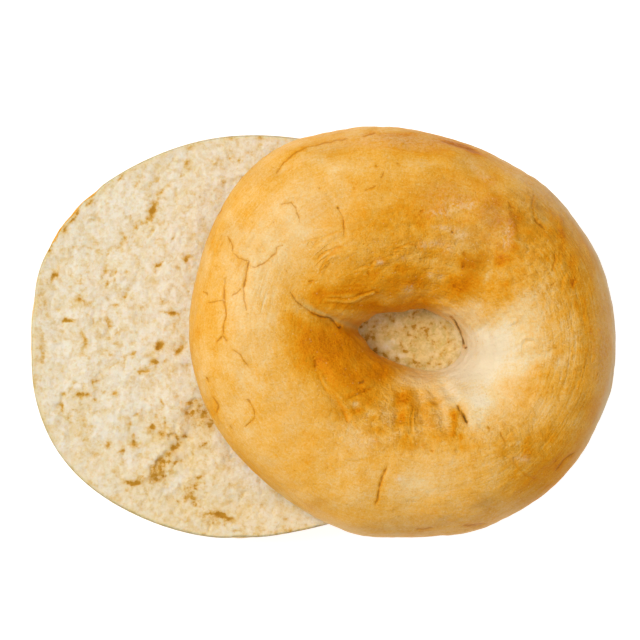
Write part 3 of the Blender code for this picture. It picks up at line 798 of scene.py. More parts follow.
def skinRelief(mesh, points, normals, x, y):
    # the finer relief of the top half's skin, and where its streaks, cracks and folds are
    softX, softY = strayed(x, y, points, topSkin["foldStray"])
    out = np.zeros(len(x))
    for route, width, height in wrinkles:
        away, along, *_ = distanceToRoute(softX, softY, route)
        out += height * np.sqrt(np.clip(4 * along * (1 - along), 0, 1)) * bell(away, width)
    streaks = stretchStreaks(x, y)
    out += stretchMarks["height"] * streaks
    facesUp = topSkin["steepShare"] + (1 - topSkin["steepShare"]) * np.clip(normals[:, 2], 0, 1)
    out += facesUp * uneven(points, topSkin["own"])
    out += uneven(readRolled(mesh) / np.array(topSkin["drawn"]), topSkin["drawnOut"])
    mottled = topSkin["mottled"] + spread(x, y, fromPixels(mottledPatches, "topHole"))
    out += (topSkin["fineHeight"] + topSkin["fineMottled"] * mottled) * bumps(points, *topSkin["fine"])

    strayX, strayY = strayed(x, y, points, cracks["stray"])
    crackNear, _, crackOffset = nearestLine(strayX, strayY, cracks["lines"], cracks["reach"])
    crackAway = np.hypot(crackOffset[:, 0], crackOffset[:, 1])
    out -= cracks["depth"] * crackNear * bell(crackAway, cracks["width"])
    foldNear, foldSide, _ = nearestLine(softX, softY, folds, topSkin["foldReach"])
    depth, width = topSkin["foldGroove"]
    out -= depth * foldNear * bell(foldSide, width)
    height, width, beside = topSkin["foldRidge"]
    out += height * foldNear * bell(foldSide - beside, width)
    return out, {"streaks": streaks, "mottled": mottled, "crackNear": crackNear, "crackOffset": crackOffset,
                 "foldNear": foldNear, "foldSide": foldSide}


def browning(points, x, y, lift, fromHole, streaks):  # how brown the top half's skin is
    rim, wall = topSkin["rightRim"], topSkin["holeWall"]
    bake = topSkin["bake"] + spread(x, y, topBrowning) + spread(x, y, fromPixels(brownPatches, "topHole"))
    bake += spread(x, y, fromPixels(toneAndLightZones, "topHole"))
    bake += uneven(points, topSkin["bakeNoise"]) + stretchMarks["browner"] * streaks
    bake = np.minimum(bake, topSkin["bakeMost"])
    bake += rim["browner"] * step(*rim["from"], np.hypot(x, y)) * facing(fromHole, rim)
    return bake - wall["paler"] * step(*wall["below"], lift) * facing(fromHole, wall)


def makeTopCrust(material):
    mesh = turnedShell("topCrust", topSkin["sectors"], topSkin["rings"], top["inwards"])
    recessed, lift, across, angle = shapeShell(mesh, top)
    points = readPoints(mesh)
    normals = readPoints(mesh, "normal")
    broad = broadRelief(points, lift, top)
    x, y = asSeen(points + broad[:, None] * normals, top)
    finer, found = skinRelief(mesh, points, normals, x, y)
    share, grown = topSkin["cutFade"]
    out = np.where(recessed, 0, (broad + finer) * np.clip(share + lift / grown, 0, 1))
    placePoints(mesh, points + out[:, None] * normals)

    fromHole = np.degrees(angle)
    bake = browning(points, x, y, lift, fromHole, found["streaks"])
    limb = facing(fromHole, topSkin["limb"])
    fromOutline = lobed(angle, top["outline"], top["outlineLobes"]) - np.hypot(x, y)
    # a painted sheen along the right edge, for the white surroundings that it reflects at a grazing angle
    sheen = sum(most * step(outer, inner, fromOutline) for most, outer, inner in topSkin["limbPaintedSheen"])
    paleGloss, brown, pale = topSkin["paleShine"]
    limbGloss, above, below = topSkin["limbShine"]
    marks = {
        "bake": bake,
        # flour, and painted glare and highlights where the light catches the skin
        "dust": spread(x, y, topFlourAndGlare) + spread(x, y, fromPixels(flourAndGlarePatches, "topHole")),
        "scar": spread(x, y, fromPixels(scars, "topHole")),
        "mottled": found["mottled"],
        # painted shade along the edges that turn from the light, and darker without being browner elsewhere
        "dull": spread(x, y, fromPixels(dullAndShadeZones, "topHole")),
        "sheen": limb * sheen,
        "shine": paleGloss * step(brown, pale, bake) + limbGloss * limb * step(above, below, lift),
        "streaky": topSkin["streaky"] + spread(x, y, topStreaks),
        "crackNear": found["crackNear"],
        "foldNear": found["foldNear"],
        "foldSide": found["foldSide"],
    }
    for name, values in marks.items():
        hidden = topSkin["recess"].get(name)
        paint(mesh, name, values if hidden is None else np.where(recessed, hidden, values))
    paintVector(mesh, "crackOffset", found["crackOffset"])
    return finishPiece(mesh, "topCrust", top, material)


# The bottom half's skin, which is thin and pale beside the cut.
bottomSkin = {
    "sectors": 460,
    "rings": 116,
    "trimmed": 0.95,  # how much of the lumps is taken off beside the cut, whose outline stays the widest
    "trimmedAcross": (0.75, 0.95),  # from where, and where in full, with the outline at 1
    "fine": [(0.16, 5.5, 82), (0.09, 2.3, 83)],
    "fineStarts": 1.0,  # how far from the cut and the base it reaches its full height
    "nearCut": (0.6, 4.5),  # how far from the cut the skin stays thin, and has its full colour
    "rim": 0.12,  # how brown the thin skin is
    "rimNoise": [(0.08, 3.0, 86)],
    "rimBrowning": [(139.5, 3, 0.45), (146, 4, 0.5), (154, 5, 0.5)],  # (heading, how many degrees, how much)
    # an orange band of painted shade on the crumb's side of the thin rim at the left
    "leftRimShade": {"heading": 173, "within": 7, "inside": (0.8, 2.2), "browner": 0.25},
    "bake": 0.58,  # how brown the rest is
    "bakeNoise": [(0.08, 12.0, 84), (0.05, 4.0, 85)],
    "base": {"below": (10, 17), "browner": 0.14},  # from and to how far below the cut
    "baseFlour": {"below": (15, 17), "amount": 0.25},
    "recess": 0.3,  # how brown the recess is, where the skin can't be seen
    # what is the same all over
    "plain": {"scar": 0, "mottled": 0.3, "dull": 0, "sheen": 0, "shine": 0, "streaky": 0.25, "crackNear": 0,
              "foldNear": 0, "foldSide": 3.0},
    "noCrack": 2.0,  # how far off the nearest crack is said to be
}


def makeBottomCrust(material):
    mesh = turnedShell("bottomCrust", bottomSkin["sectors"], bottomSkin["rings"], bottom["inwards"])
    recessed, lift, across, angle = shapeShell(mesh, bottom)
    points = readPoints(mesh)
    normals = readPoints(mesh, "normal")
    out = broadRelief(points, lift, bottom) * np.clip((cutHeight - lift) / crustShell["reliefStarts"], 0, 1)
    out -= bottomSkin["trimmed"] * np.clip(out, 0, None) * step(*bottomSkin["trimmedAcross"], across)
    fromEnds = np.minimum(lift, cutHeight - lift)
    clear = np.clip(fromEnds / bottomSkin["fineStarts"], 0, 1)
    out += uneven(points, bottomSkin["fine"]) * clear
    placePoints(mesh, points + np.where(recessed, 0, out)[:, None] * normals)

    degrees = np.degrees(angle)
    nearCut = 1 - step(*bottomSkin["nearCut"], lift)
    rim = bottomSkin["rim"] + uneven(points, bottomSkin["rimNoise"])
    for heading, reach, amount in bottomSkin["rimBrowning"]:
        rim += amount * bell(turnedFrom(degrees, heading), reach)
    outline = lobed(angle, bottom["outline"], bottom["outlineLobes"])
    fromOutline = outline - np.hypot(points[:, 0], points[:, 1])
    left, base, flour = bottomSkin["leftRimShade"], bottomSkin["base"], bottomSkin["baseFlour"]
    atLeft = bell(turnedFrom(degrees, left["heading"]), left["within"])
    # painted shade along the left rim, beside the crumb
    rim += left["browner"] * atLeft * step(*left["inside"], fromOutline)
    bake = bottomSkin["bake"] + base["browner"] * step(*base["below"], lift)
    bake += uneven(points, bottomSkin["bakeNoise"])
    bake = bake * (1 - nearCut) + rim * nearCut
    paint(mesh, "bake", np.where(recessed, bottomSkin["recess"], bake))
    paint(mesh, "dust", flour["amount"] * step(*flour["below"], lift))
    for name, value in bottomSkin["plain"].items():
        paint(mesh, name, np.full(len(points), value))
    paintVector(mesh, "crackOffset", np.full((len(points), 3), bottomSkin["noCrack"]))
    return finishPiece(mesh, "bottomCrust", bottom, material)


# The crumb is a slab whose face is dipped, torn and full of air cells. Unevenness is given as
# (height, size, seed), in millimetres.
crumb = {
    "slab": 3.8,  # how thick it is
    "slabInset": 3.3,  # how far its back lies inside the face's edges
    "margin": 8,  # how far the first grid reaches past the mean outline
    "trim": 0.3,  # how near the edge a grid point may lie, in cells
    "middleMore": 5,  # the radius between hole and outline, past half the mean outline
    "dip": 1.1,  # how far the face dips at most
    "dipSize": 9.0,
    "dipSeed": 20,  # added to the half's own
    "dipStarts": 9,  # how far from the rim the face is dipped in full
    "curdsStart": 2.0,  # and has all its curds
    "curds": [(0.15, 3.6, 91), (0.10, 1.8, 92), (0.06, 0.9, 93)],
    "stray": [(0.8, 3.0, 94), (0.5, 1.2, 96)],  # how far its marks stray from where they are placed
    # soft golden hollows, more in some places than in others, and most where the hole shows the crumb
    "region": [(0.22, 13.0, 98)],
    "airyPlace": {"middle": (39.8, -0.8), "reach": 13, "more": 0.34},
    # (amount, heading, how long, size, seed, how much of the noise is hollow, how much the region counts)
    "hollows": [(0.7, 58, 1.9, 2.1, 101, 0.30, 1.0), (0.49, 100, 1.5, 1.2, 102, 0.36, 0.8)],
    # how deep the face is, by itself and with each mark, and the least and most that it may be
    "depths": {"plain": 0.12, "lower": 0.04, "cells": 0.5, "hollow": 0.3, "golden": 0.22, "veryGolden": 0.35,
               "swellAndLight": 0.25, "least": 0.03, "most": 3.4},
    "veryGolden": 0.7,  # from here on
    "cellMark": {"most": 1.15, "cells": 0.6, "hollow": 0.45},  # painted as cells, with the golden spots
    "lowMark": 0.5,  # the dip's share in what is painted as low; lower places are painted more golden, as painted shade of the hollows
    "frontGold": {"amount": 0.10, "from": (5, -45)},  # the crumb is more golden towards the front
    "rimGold": {"amount": 0.4, "within": (0.2, 1.6)},  # and beside the crust
    # scattered air cells: (how many, half length, half width, depth), each from and to
    "cells": [
        (2600, (0.3, 0.7), (0.2, 0.4), (0.08, 0.2)),
        (420, (0.6, 1.4), (0.3, 0.6), (0.12, 0.32)),
        (20, (0.9, 1.6), (0.4, 0.8), (0.3, 0.6)),
    ],
    "cellSeed": 5,  # added to the half's own
    "cellRing": (12, 57),  # between these radii
    "alongRim": 28,  # how far a cell's heading strays from the rim's, in degrees
    "alongGrain": 0.5,  # the share of cells that lie along the crumb's grain instead
    "grain": (52, 25),  # its heading, and how far they stray from it
    "shorter": 1.5,  # over 1, more of them are short
    "bowl": 1.3,  # over 1, a cell has a flat floor and reaches past its measures
    "cellStray": 0.6,  # the share of the marks' stray that cells have
}
# the torn step: high on its upper left and low on the other side
tear = {
    "route": [(-15.0, -15.8), (-17.6, -18.3), (-19.1, -21.4), (-21.2, -26.6), (-23.5, -29.7), (-25.6, -32.2),
              (-26.6, -35.0), (-29.0, -37.6)],
    "stray": 2.1,  # how many times the stray of the crumb's marks
    "drop": 0.95,
    "slope": (-1.4, 3.0),  # from and to how far on its low side it drops
    "reach": 9.0,  # how far on the face comes up again
    "ends": (6, 0.2),  # how fast it grows from its ends, and what is left of it there
    "fades": (1.3, 16),  # and how it fades to the sides
    "uneven": [(0.5, 4.0, 103)],  # how its height varies along it, from what, and what is always left
    "evenShare": 0.75,
    "leastShare": 0.2,
    "lip": {"height": 0.2, "beside": 1.4, "width": 1.8},  # the torn edge stands up
}
# golden hollows and air cells in the photograph's pixels:
# (x, y, half length, half width, heading, how golden)
goldenSpots = [
    (54, 277, 9, 3.2, 60, 0.95), (43, 345, 11, 3, 97, 0.4), (37, 358, 6, 3, 90, 0.25),
    (81, 300, 5.5, 4, 60, 0.7), (67, 321, 4, 2, 10, 0.95), (82, 335, 10, 2.5, 110, 0.5),
    (84.5, 346, 2.5, 3, 90, 0.7), (115, 306, 3.5, 2.2, 10, 0.85), (108, 300, 4, 2, -50, 0.45),
    (136, 306, 4.5, 3.5, 0, 0.5), (122, 296, 4, 3, 20, 0.35), (105, 268, 3, 7, 0, 0.4),
    (106, 285, 3, 4, 0, 0.35), (119, 246, 8, 3.2, 40, 0.5), (90, 248, 4, 3, 0, 0.3),
    (157, 266, 5.5, 3.2, 15, 0.65), (186, 258, 4.5, 2.2, 80, 0.65), (180, 268, 4, 3, 0, 0.35),
    (139, 262, 2.5, 4.5, 0, 0.4), (141, 246, 2.5, 3.5, 0, 0.35), (172, 313, 9, 1.8, -3, 0.5),
    (175, 314, 3.5, 1.5, 10, 0.6), (172, 331, 8, 1.8, 60, 0.4), (160, 346, 6, 3.6, 20, 0.9),
    (158, 347, 2.2, 1.8, 0, 0.5), (179, 351, 5.5, 3.2, 45, 0.85), (154, 362, 5, 2.8, -5, 0.85),
    (146, 372, 8, 2.6, 12, 0.7), (182, 339, 2.2, 2, 0, 0.35), (108, 325, 2.6, 5, 0, 0.45),
    (117, 333, 2, 2.5, 0, 0.45), (136, 333, 2.2, 1.8, 0, 0.5), (104, 351, 3.5, 1.5, 0, 0.4),
    (133, 354, 3.5, 1.8, 0, 0.45), (120, 356, 12, 1, -8, 0.35), (115, 365, 9, 1.1, 28, 0.5),
    (88, 359, 2, 2, 0, 0.45), (114, 343, 2.8, 1.5, 0, 0.45), (164, 247, 4, 4.5, 0, 0.35),
    (81, 284, 2.2, 1.5, 0, 0.4), (80, 275, 2, 2, 0, 0.3), (91, 284, 1.6, 1.6, 0, 0.4),
    (184, 286, 2.5, 4, 0, 0.3), (179, 302, 2, 2.2, 0, 0.4), (100, 372, 2, 3, 0, 0.35),
    (79, 394, 3, 3.4, 0, 0.75), (88, 395, 3, 2, -10, 0.85), (83, 388, 2, 3, 0, 0.3),
    (114, 394, 3.6, 3.4, 0, 0.55), (98, 381, 6, 1.2, 25, 0.5), (93, 384, 1.3, 2.5, 0, 0.55),
    (137, 415, 2.6, 1.3, 35, 0.9), (62, 409, 5.5, 1.5, 105, 0.5), (76, 411, 3, 2.5, 0, 0.4),
    (70, 422, 4, 2, -45, 0.5), (86, 427, 10, 2.6, 113, 0.42), (92, 455, 4, 2.6, -10, 0.7),
    (130, 424, 2.6, 1.8, 20, 0.6), (129, 430, 1.6, 3, 0, 0.5), (133, 436, 2.2, 3, 0, 0.5),
    (133, 444, 4.5, 1.9, 118, 0.6), (152, 427, 2.6, 3.2, 15, 1.05), (160, 401, 5.5, 1.7, 115, 0.45),
    (165, 422, 7, 1.1, 95, 0.55), (160, 433, 8, 2.6, 0, 0.4), (185, 436, 5, 2, -12, 0.6),
    (118, 427, 3, 4, 0, 0.3), (109, 445, 3.2, 3, 0, 0.45), (122, 452, 3.2, 2.8, 0, 0.55),
    (117, 467, 3, 2, 0, 0.3), (134, 483, 7.5, 2.6, -8, 0.85), (129, 482, 3, 1.5, -5, 0.5),
    (145, 490, 5.5, 2, -50, 0.4), (167, 497, 4, 2.6, 0, 0.35), (188, 492, 10, 7, 60, 0.33),
    (192, 496, 2.4, 3.2, 0, 0.5), (177, 502, 3.2, 1.6, 10, 0.6), (199, 477, 8, 2, 25, 0.35),
    (220, 515, 4.5, 3, -8, 1.15), (229, 519, 6, 2.2, -25, 0.95), (196, 513, 2.6, 1.8, 0, 0.45),
    (173, 516, 2, 1.5, 0, 0.35), (209, 514, 5, 0.9, 5, 0.35), (175, 464, 2.6, 2.4, 0, 0.4),
    (182, 461, 2.6, 1.8, 0, 0.4), (203, 446, 2.6, 2.6, 0, 0.3), (224, 467, 3.4, 1.8, -20, 0.35),
    (190, 148, 4, 1.6, 42, 0.65), (186, 165, 3.5, 1.9, 45, 0.65), (152, 212, 8, 4, 70, 0.9),
    (154, 205, 4, 3, 60, 0.4), (150, 219, 3, 3, 0, 0.35), (134, 226, 6.5, 3.6, 65, 0.45),
    (124, 239, 4.5, 3, 45, 0.4), (161, 192, 4.5, 2.4, 30, 0.6), (176, 193, 5.5, 1.4, 85, 0.4),
    (136, 186, 6, 2.6, 25, 0.35), (157, 180, 2, 3, 0, 0.4), (214, 191, 6, 1.8, 40, 0.4),
    (224, 183, 3.4, 2, 10, 0.45), (190, 206, 2.8, 3, 0, 0.3), (204, 226, 2.4, 3.4, 0, 0.4),
    (191, 238, 3.6, 1.5, 0, 0.4), (230, 140, 4, 1.6, 0, 0.5), (232, 152, 3.4, 1.5, 0, 0.4),
    (222, 159, 3.4, 1.5, 0, 0.35), (238, 177, 4.5, 2, 0, 0.5), (213, 165, 5, 2, 0, 0.3),
    (123, 272, 8, 2, -3, 0.3), (218, 146, 2.6, 1.6, 0, 0.3), (202, 172, 2.4, 2, 0, 0.3),
    (240, 160, 2, 3, 0, 0.4), (252, 505, 3, 2, 0, 0.4), (262, 523, 3.5, 1.6, 0, 0.5),
    (238, 531, 5, 1.2, 0, 0.6), (284, 520, 3, 1.6, 0, 0.4), (300, 519, 4, 1.5, 10, 0.35),
    (243, 494, 4, 2, 30, 0.35), (265, 500, 3, 2, 0, 0.3), (231, 486, 4, 2, 20, 0.3),
    # along the torn step, where the golden is partly painted shade below the step
    (191, 403, 5, 2.6, -10, 0.7), (189, 415, 4, 3.4, 0, 0.3), (203, 406, 5, 6, -30, 0.2),
    (204, 416, 4.4, 3, 0, 0.4), (196, 412, 14, 11, -20, 0.3), (184, 423, 5, 4, 30, 0.3),
    (209, 428, 4, 4, 0, 0.4), (175, 448, 6.5, 3, 40, 0.75), (167, 454, 5, 3, 15, 0.4),
    (162, 459, 3.4, 3, 0, 0.4), (158, 467, 10, 4.6, 55, 0.35), (154, 474, 5, 4, 0, 0.35),
    (155, 481, 4, 3.6, 0, 0.6), (149, 478, 3, 2.6, 0, 0.3), (161, 471, 12, 8, 60, 0.38),
    (178, 434, 12, 8, 30, 0.22),
    # at the outline
    (76, 213, 4.5, 2.6, 50, 0.6), (64, 232, 4.5, 3.0, 60, 0.6), (87, 204, 5, 2, 40, 0.45),
    (121, 178, 5, 1.6, 25, 0.5), (134, 170, 4, 1.4, 25, 0.35), (48, 250, 8, 2, 68, 0.7),
    (60, 262, 3, 3, 0, 0.3), (70, 222, 5, 2, 50, 0.6),
]
# air cells seen through the top half's hole, in the photograph's pixels
holeCells = [
    (368, 338, 4.0, 3.0, 50, 0.75), (371, 332, 2.6, 2.6, 0, 0.4), (387, 315, 3.6, 1.8, 15, 0.85),
    (414, 315, 6, 2.2, 52, 0.95), (436, 312, 4.4, 1.8, -40, 0.95), (414, 327, 2.8, 4, 0, 0.6),
    (416, 338, 4.2, 2.2, 10, 0.6), (402, 345, 4.5, 2, 102, 0.95), (405, 352, 3.5, 1.8, -15, 0.95),
    (427, 335, 4.6, 1.4, 85, 0.65), (377, 348, 3.6, 1.8, 60, 0.8), (384, 355, 5, 1.8, -36, 0.9),
    (416, 364, 4, 3.2, 0, 0.8), (423, 367, 4, 1.6, 0, 0.55), (436, 365, 4.4, 1.8, 5, 0.55),
    (440.5, 363.5, 1.4, 1.4, 0, 0.7), (420, 322.5, 2, 1.4, 0, 0.8), (425, 309.5, 2.4, 1.4, 0, 0.7),
    (409, 335, 1.6, 3, 10, 0.65), (387, 326, 4, 2.4, -15, 0.5), (374, 321, 3.6, 3, 0, 0.55),
    (396, 328, 3.6, 3.4, 0, 0.35), (385, 333, 5, 2.4, 0, 0.35), (433, 342, 4.4, 1.5, -5, 0.45),
    (447, 343, 2.8, 2, 0, 0.35), (446.5, 355, 1.5, 4.6, 0, 0.45), (443, 327, 5.5, 1.4, -60, 0.4),
    (456, 346, 1.4, 3, 0, 0.45), (432, 324, 1.6, 4, 10, 0.3), (393, 320, 3, 2.4, 0, 0.3),
    (450, 360, 1.6, 1.6, 0, 0.45), (434, 352, 3, 1.4, 20, 0.3), (422, 345, 3, 1.3, -20, 0.35),
    (366, 322, 3, 2.4, 30, 0.7), (361, 327, 2, 3, 20, 0.8), (430, 318, 2, 1.4, 40, 0.4),
    (400, 333, 1.4, 2.4, 0, 0.35), (394, 357, 3, 1.4, -20, 0.3), (440, 333, 2, 1.4, 20, 0.4),
    (452, 331, 1.4, 3, 20, 0.35),
]
# broader tan places, in the photograph's pixels
tanZones = [
    (202, 416, 18, 13, -20, 0.30), (165, 466, 14, 9, 50, 0.10), (160, 440, 14, 8, 20, 0.12),
    (192, 494, 14, 9, 50, 0.14), (374, 321, 9, 6, 0, 0.16), (388, 333, 10, 5, 0, 0.10),
    (416, 331, 8, 8, 0, 0.24), (447, 345, 6, 12, 0, 0.16), (432, 362, 14, 4, 0, 0.26),
    (443, 358, 7, 6, 0, 0.12), (380, 350, 10, 4, -40, 0.14), (404, 348, 5, 7, 0, 0.1),
    (366, 335, 6, 6, 0, 0.25), (41, 299, 4, 15, 5, 0.2), (45, 303, 2, 9, 8, 0.3), (74, 218, 9, 3, 52, 0.25),
    (140, 480, 9, 8, 0, 0.32), (212, 519, 15, 8, 20, 0.42), (200, 483, 10, 8, 0, 0.16),
    (160, 420, 9, 16, 0, 0.28), (182, 460, 9, 8, 0, 0.2), (160, 440, 9, 8, 0, 0.12),
    (200, 442, 8, 7, 0, 0.2), (200, 500, 9, 8, 0, 0.18), (140, 222, 10, 8, 0, 0.14),
    (92, 402, 9, 9, 0, 0.14), (150, 222, 14, 8, 20, 0.11), (80, 282, 8, 7, 0, 0.16),
    (80, 410, 8, 14, 0, 0.1), (80, 340, 8, 7, 0, 0.1), (120, 338, 10, 7, 0, 0.1), (238, 160, 8, 8, 0, 0.14),
    (290, 528, 16, 6, 0, 0.25), (255, 528, 14, 6, 0, 0.14), (110, 270, 12, 8, 0, 0.1),
    (130, 240, 12, 10, 40, 0.1), (160, 200, 8, 14, 30, 0.12), (160, 354, 10, 12, 0, 0.14),
    (86, 302, 9, 7, 0, 0.12), (428, 352, 16, 9, 0, 0.14),
]
# paler swells of the crumb, in the photograph's pixels; the ones at the top of the hole are painted light
# where the wall's shade falls
paleSwellsAndLitPlaces = [
    (165, 285, 9, 14, 0, 0.5), (167, 236, 13, 8, 0, 0.4), (125, 212, 12, 9, 0, 0.3),
    (98, 425, 8, 16, 10, 0.5), (112, 424, 8, 9, 0, 0.5), (130, 372, 10, 9, 0, 0.3),
    (152, 461, 8, 4, 45, 0.9), (174, 486, 13, 4.5, 45, 0.9), (146, 402, 12, 9, 0, 0.4),
    (95, 300, 8, 12, 0, 0.3), (70, 345, 7, 14, 10, 0.4), (152, 332, 12, 8, 0, 0.4),
    (122, 395, 9, 14, 0, 0.3), (170, 412, 8, 9, 0, 0.5), (148, 365, 6, 6, 0, 0.3), (103, 240, 8, 8, 0, 0.3),
    (250, 472, 10, 14, 0, 0.3), (320, 521, 8, 5, 0, 0.3), (110, 490, 14, 8, -35, 0.15),
    (58, 425, 6, 30, 10, 0.15), (75, 383, 10, 6, 0, 0.3), (130, 458, 10, 8, 0, 0.3),
    (100, 345, 8, 8, 0, 0.2), (200, 250, 7, 12, 0, 0.25), (100, 320, 9, 9, 0, 0.2),
    (42, 322, 4, 12, 0, 0.3), (60, 400, 8, 10, 0, 0.2), (262, 478, 8, 10, 0, 0.3), (240, 460, 8, 9, 0, 0.2),
    (389, 345, 8, 5, 20, 0.4), (160, 240, 9, 8, 0, 0.35), (110, 285, 14, 20, 0, 0.14),
    (200, 325, 8, 14, 0, 0.25), (140, 441, 8, 8, 0, 0.25), (221, 438, 8, 10, 0, 0.3),
    # (384, 322) here and (400, 322) below are painted light at the top of the hole, against the shade of its
    # wall
    (62, 440, 7, 9, 0, 0.15), (205, 400, 12, 9, 0, 0.12), (384, 322, 14, 7, 0, 0.12),
    (398, 356, 8, 4, -10, 0.3), (430, 351, 9, 6, 0, 0.16), (400, 322, 5, 7, 0, 0.15),
    (175, 250, 6, 8, 0, 0.2),
]
# where the crumb is more golden; in the hole the gold is painted warm light bounced from the crust around it:
# (x, y, half length, half width, heading, amount)
crumbGoldAndBounceLight = [
    (-13.7, -24.0, 12, 7, 60, 0.25),
    (-27.9, -30.0, 12, 8, 30, 0.10),
    (-15.0, -42.0, 20, 9, -5, 0.16),
    # in the hole: painted warm light bounced from the crust
    (39.8, -0.8, 20, 17, 0, 0.85),
    (-56.8, -3.4, 1.8, 6, 0, 0.15),
    (-55.8, 9.5, 1.6, 5, 0, 0.2),
    (-40.0, -30.0, 8, 16, 40, 0.06),
]
# what is golden, how much of it strays with the crumb, and how soft its ovals' edges are
goldenMarks = [(goldenSpots, 0.35, 0.85), (holeCells, 0.25, 0.7), (tanZones, 0.0, 1.0)]


def crumbSlab(name, half):
    # a fine grid trimmed to the ring, pulled to the cut's edges, given sides and a plain back
    cell = half["crumbGrid"]
    reach = half["outline"] + crumb["margin"]
    count = int(2 * reach / cell)
    shape = bmesh.new()
    bmesh.ops.create_grid(shape, x_segments=count, y_segments=count, size=reach)
    places = np.array([vert.co[:2] for vert in shape.verts])
    inner, outer = crumbEdges(half, places)
    far = np.hypot(places[:, 0], places[:, 1])
    outside = (far > outer - crumb["trim"] * cell) | (far < inner + crumb["trim"] * cell)
    bmesh.ops.delete(shape, geom=[vert for vert, out in zip(shape.verts, outside) if out], context="VERTS")
    stray = [vert for vert in shape.verts if len(vert.link_faces) == 0]
    bmesh.ops.delete(shape, geom=stray, context="VERTS")
    edge = [line for line in shape.edges if line.is_boundary]
    rim = list({end for line in edge for end in line.verts})
    places = np.array([vert.co[:2] for vert in rim])
    for vert, low, high in zip(rim, *crumbEdges(half, places)):
        far = vert.co.xy.length
        vert.co.xy *= (high if far > (low + high) / 2 else low) / far
    sides = bmesh.ops.extrude_edge_only(shape, edges=edge)["geom"]
    for vert in [part for part in sides if isinstance(part, bmesh.types.BMVert)]:
        far = vert.co.xy.length
        isOuter = far > half["outline"] / 2 + crumb["middleMore"]
        vert.co.xy *= (far + crumb["slabInset"] * (-1 if isOuter else 1)) / far
        vert.co.z = crumb["slab"] * half["inwards"]
    bmesh.ops.bridge_loops(shape, edges=[part for part in sides if isinstance(part, bmesh.types.BMEdge)])
    bmesh.ops.triangulate(shape, faces=[face for face in shape.faces if len(face.verts) > 4])
    bmesh.ops.recalc_face_normals(shape, faces=shape.faces)
    mesh = bpy.data.meshes.new(name)
    shape.to_mesh(mesh)
    shape.free()
    return mesh


def scatterCells(half):  # seeded air cells: (x, y, half length, half width, heading, depth)
    draw = random.Random(half["seed"] + crumb["cellSeed"])
    nearest, farthest = crumb["cellRing"]
    cells = []
    for count, lengths, widths, depths in crumb["cells"]:
        for number in range(int(count * half["airCells"])):
            angle = draw.uniform(0, 2 * math.pi)
            far = math.sqrt(draw.uniform(nearest**2, farthest**2))
            heading = math.degrees(angle) + 90 + draw.gauss(0, crumb["alongRim"])
            if draw.random() < crumb["alongGrain"]:
                heading = draw.gauss(*crumb["grain"])
            length = lengths[0] + (lengths[1] - lengths[0]) * draw.random() ** crumb["shorter"]
            width = draw.uniform(*widths)
            place = far * math.cos(angle), far * math.sin(angle)
            cells.append((*place, length, width, heading, draw.uniform(*depths)))
    return cells


def openCells(x, y, half):  # how deep the air cells are at each point
    order = np.argsort(x)
    sortedX = x[order]
    deep = np.zeros(len(x))
    bowl = crumb["bowl"]
    for cellX, cellY, length, width, heading, depth in scatterCells(half):
        reach = max(length, width) * bowl
        first, last = np.searchsorted(sortedX, (cellX - reach, cellX + reach))
        near = order[first:last]
        near = near[np.abs(y[near] - cellY) < reach]
        cosine, sine = math.cos(math.radians(heading)), math.sin(math.radians(heading))
        lengthwise = ((x[near] - cellX) * cosine + (y[near] - cellY) * sine) / length
        crosswise = (-(x[near] - cellX) * sine + (y[near] - cellY) * cosine) / width
        hollow = depth * np.clip(bowl - lengthwise**2 - crosswise**2, 0, 1)
        deep[near] = np.maximum(deep[near], hollow)
    return deep


def leaning(x, y, heading, stretch):  # places squeezed along a heading, so that noise there comes out long
    cosine, sine = math.cos(math.radians(heading)), math.sin(math.radians(heading))
    return np.stack([(x * cosine + y * sine) / stretch, -x * sine + y * cosine, np.zeros(len(x))], axis=1)


def tornStep(x, y, flat):  # how far the torn step lowers the face, and how far its lip stands up
    away, along, side, _ = distanceToRoute(x, y, tear["route"])
    signed = away * side  # the route runs down and to the left, and the low side is on its left
    rise, left = tear["ends"]
    full, width = tear["fades"]
    torn = np.clip(rise * along * (1 - along) + left, 0, 1) * np.clip(full - away / width, 0, 1)
    torn *= np.clip(tear["evenShare"] + uneven(flat, tear["uneven"]), tear["leastShare"], 1)
    lowSide = step(*tear["slope"], signed) * np.exp(-np.clip(signed, 0, None) / tear["reach"])
    lip = tear["lip"]
    return tear["drop"] * torn * lowSide, lip["height"] * bell(signed + lip["beside"], lip["width"]) * torn


def softHollows(x, y, strayX, strayY, flat, half):  # seeded golden hollows
    airy = uneven(flat, crumb["region"])
    if half is bottom:
        place = crumb["airyPlace"]
        fromPlace = np.hypot(x - place["middle"][0], y - place["middle"][1])
        airy += place["more"] * bell(fromPlace, place["reach"])
    hollow = np.zeros(len(x))
    for amount, heading, long, size, seed, least, counts in crumb["hollows"]:
        grainy = bumps(leaning(strayX, strayY, heading, long), size, seed)
        hollow += amount * np.clip(grainy - least + counts * airy, 0, 1)
    return hollow


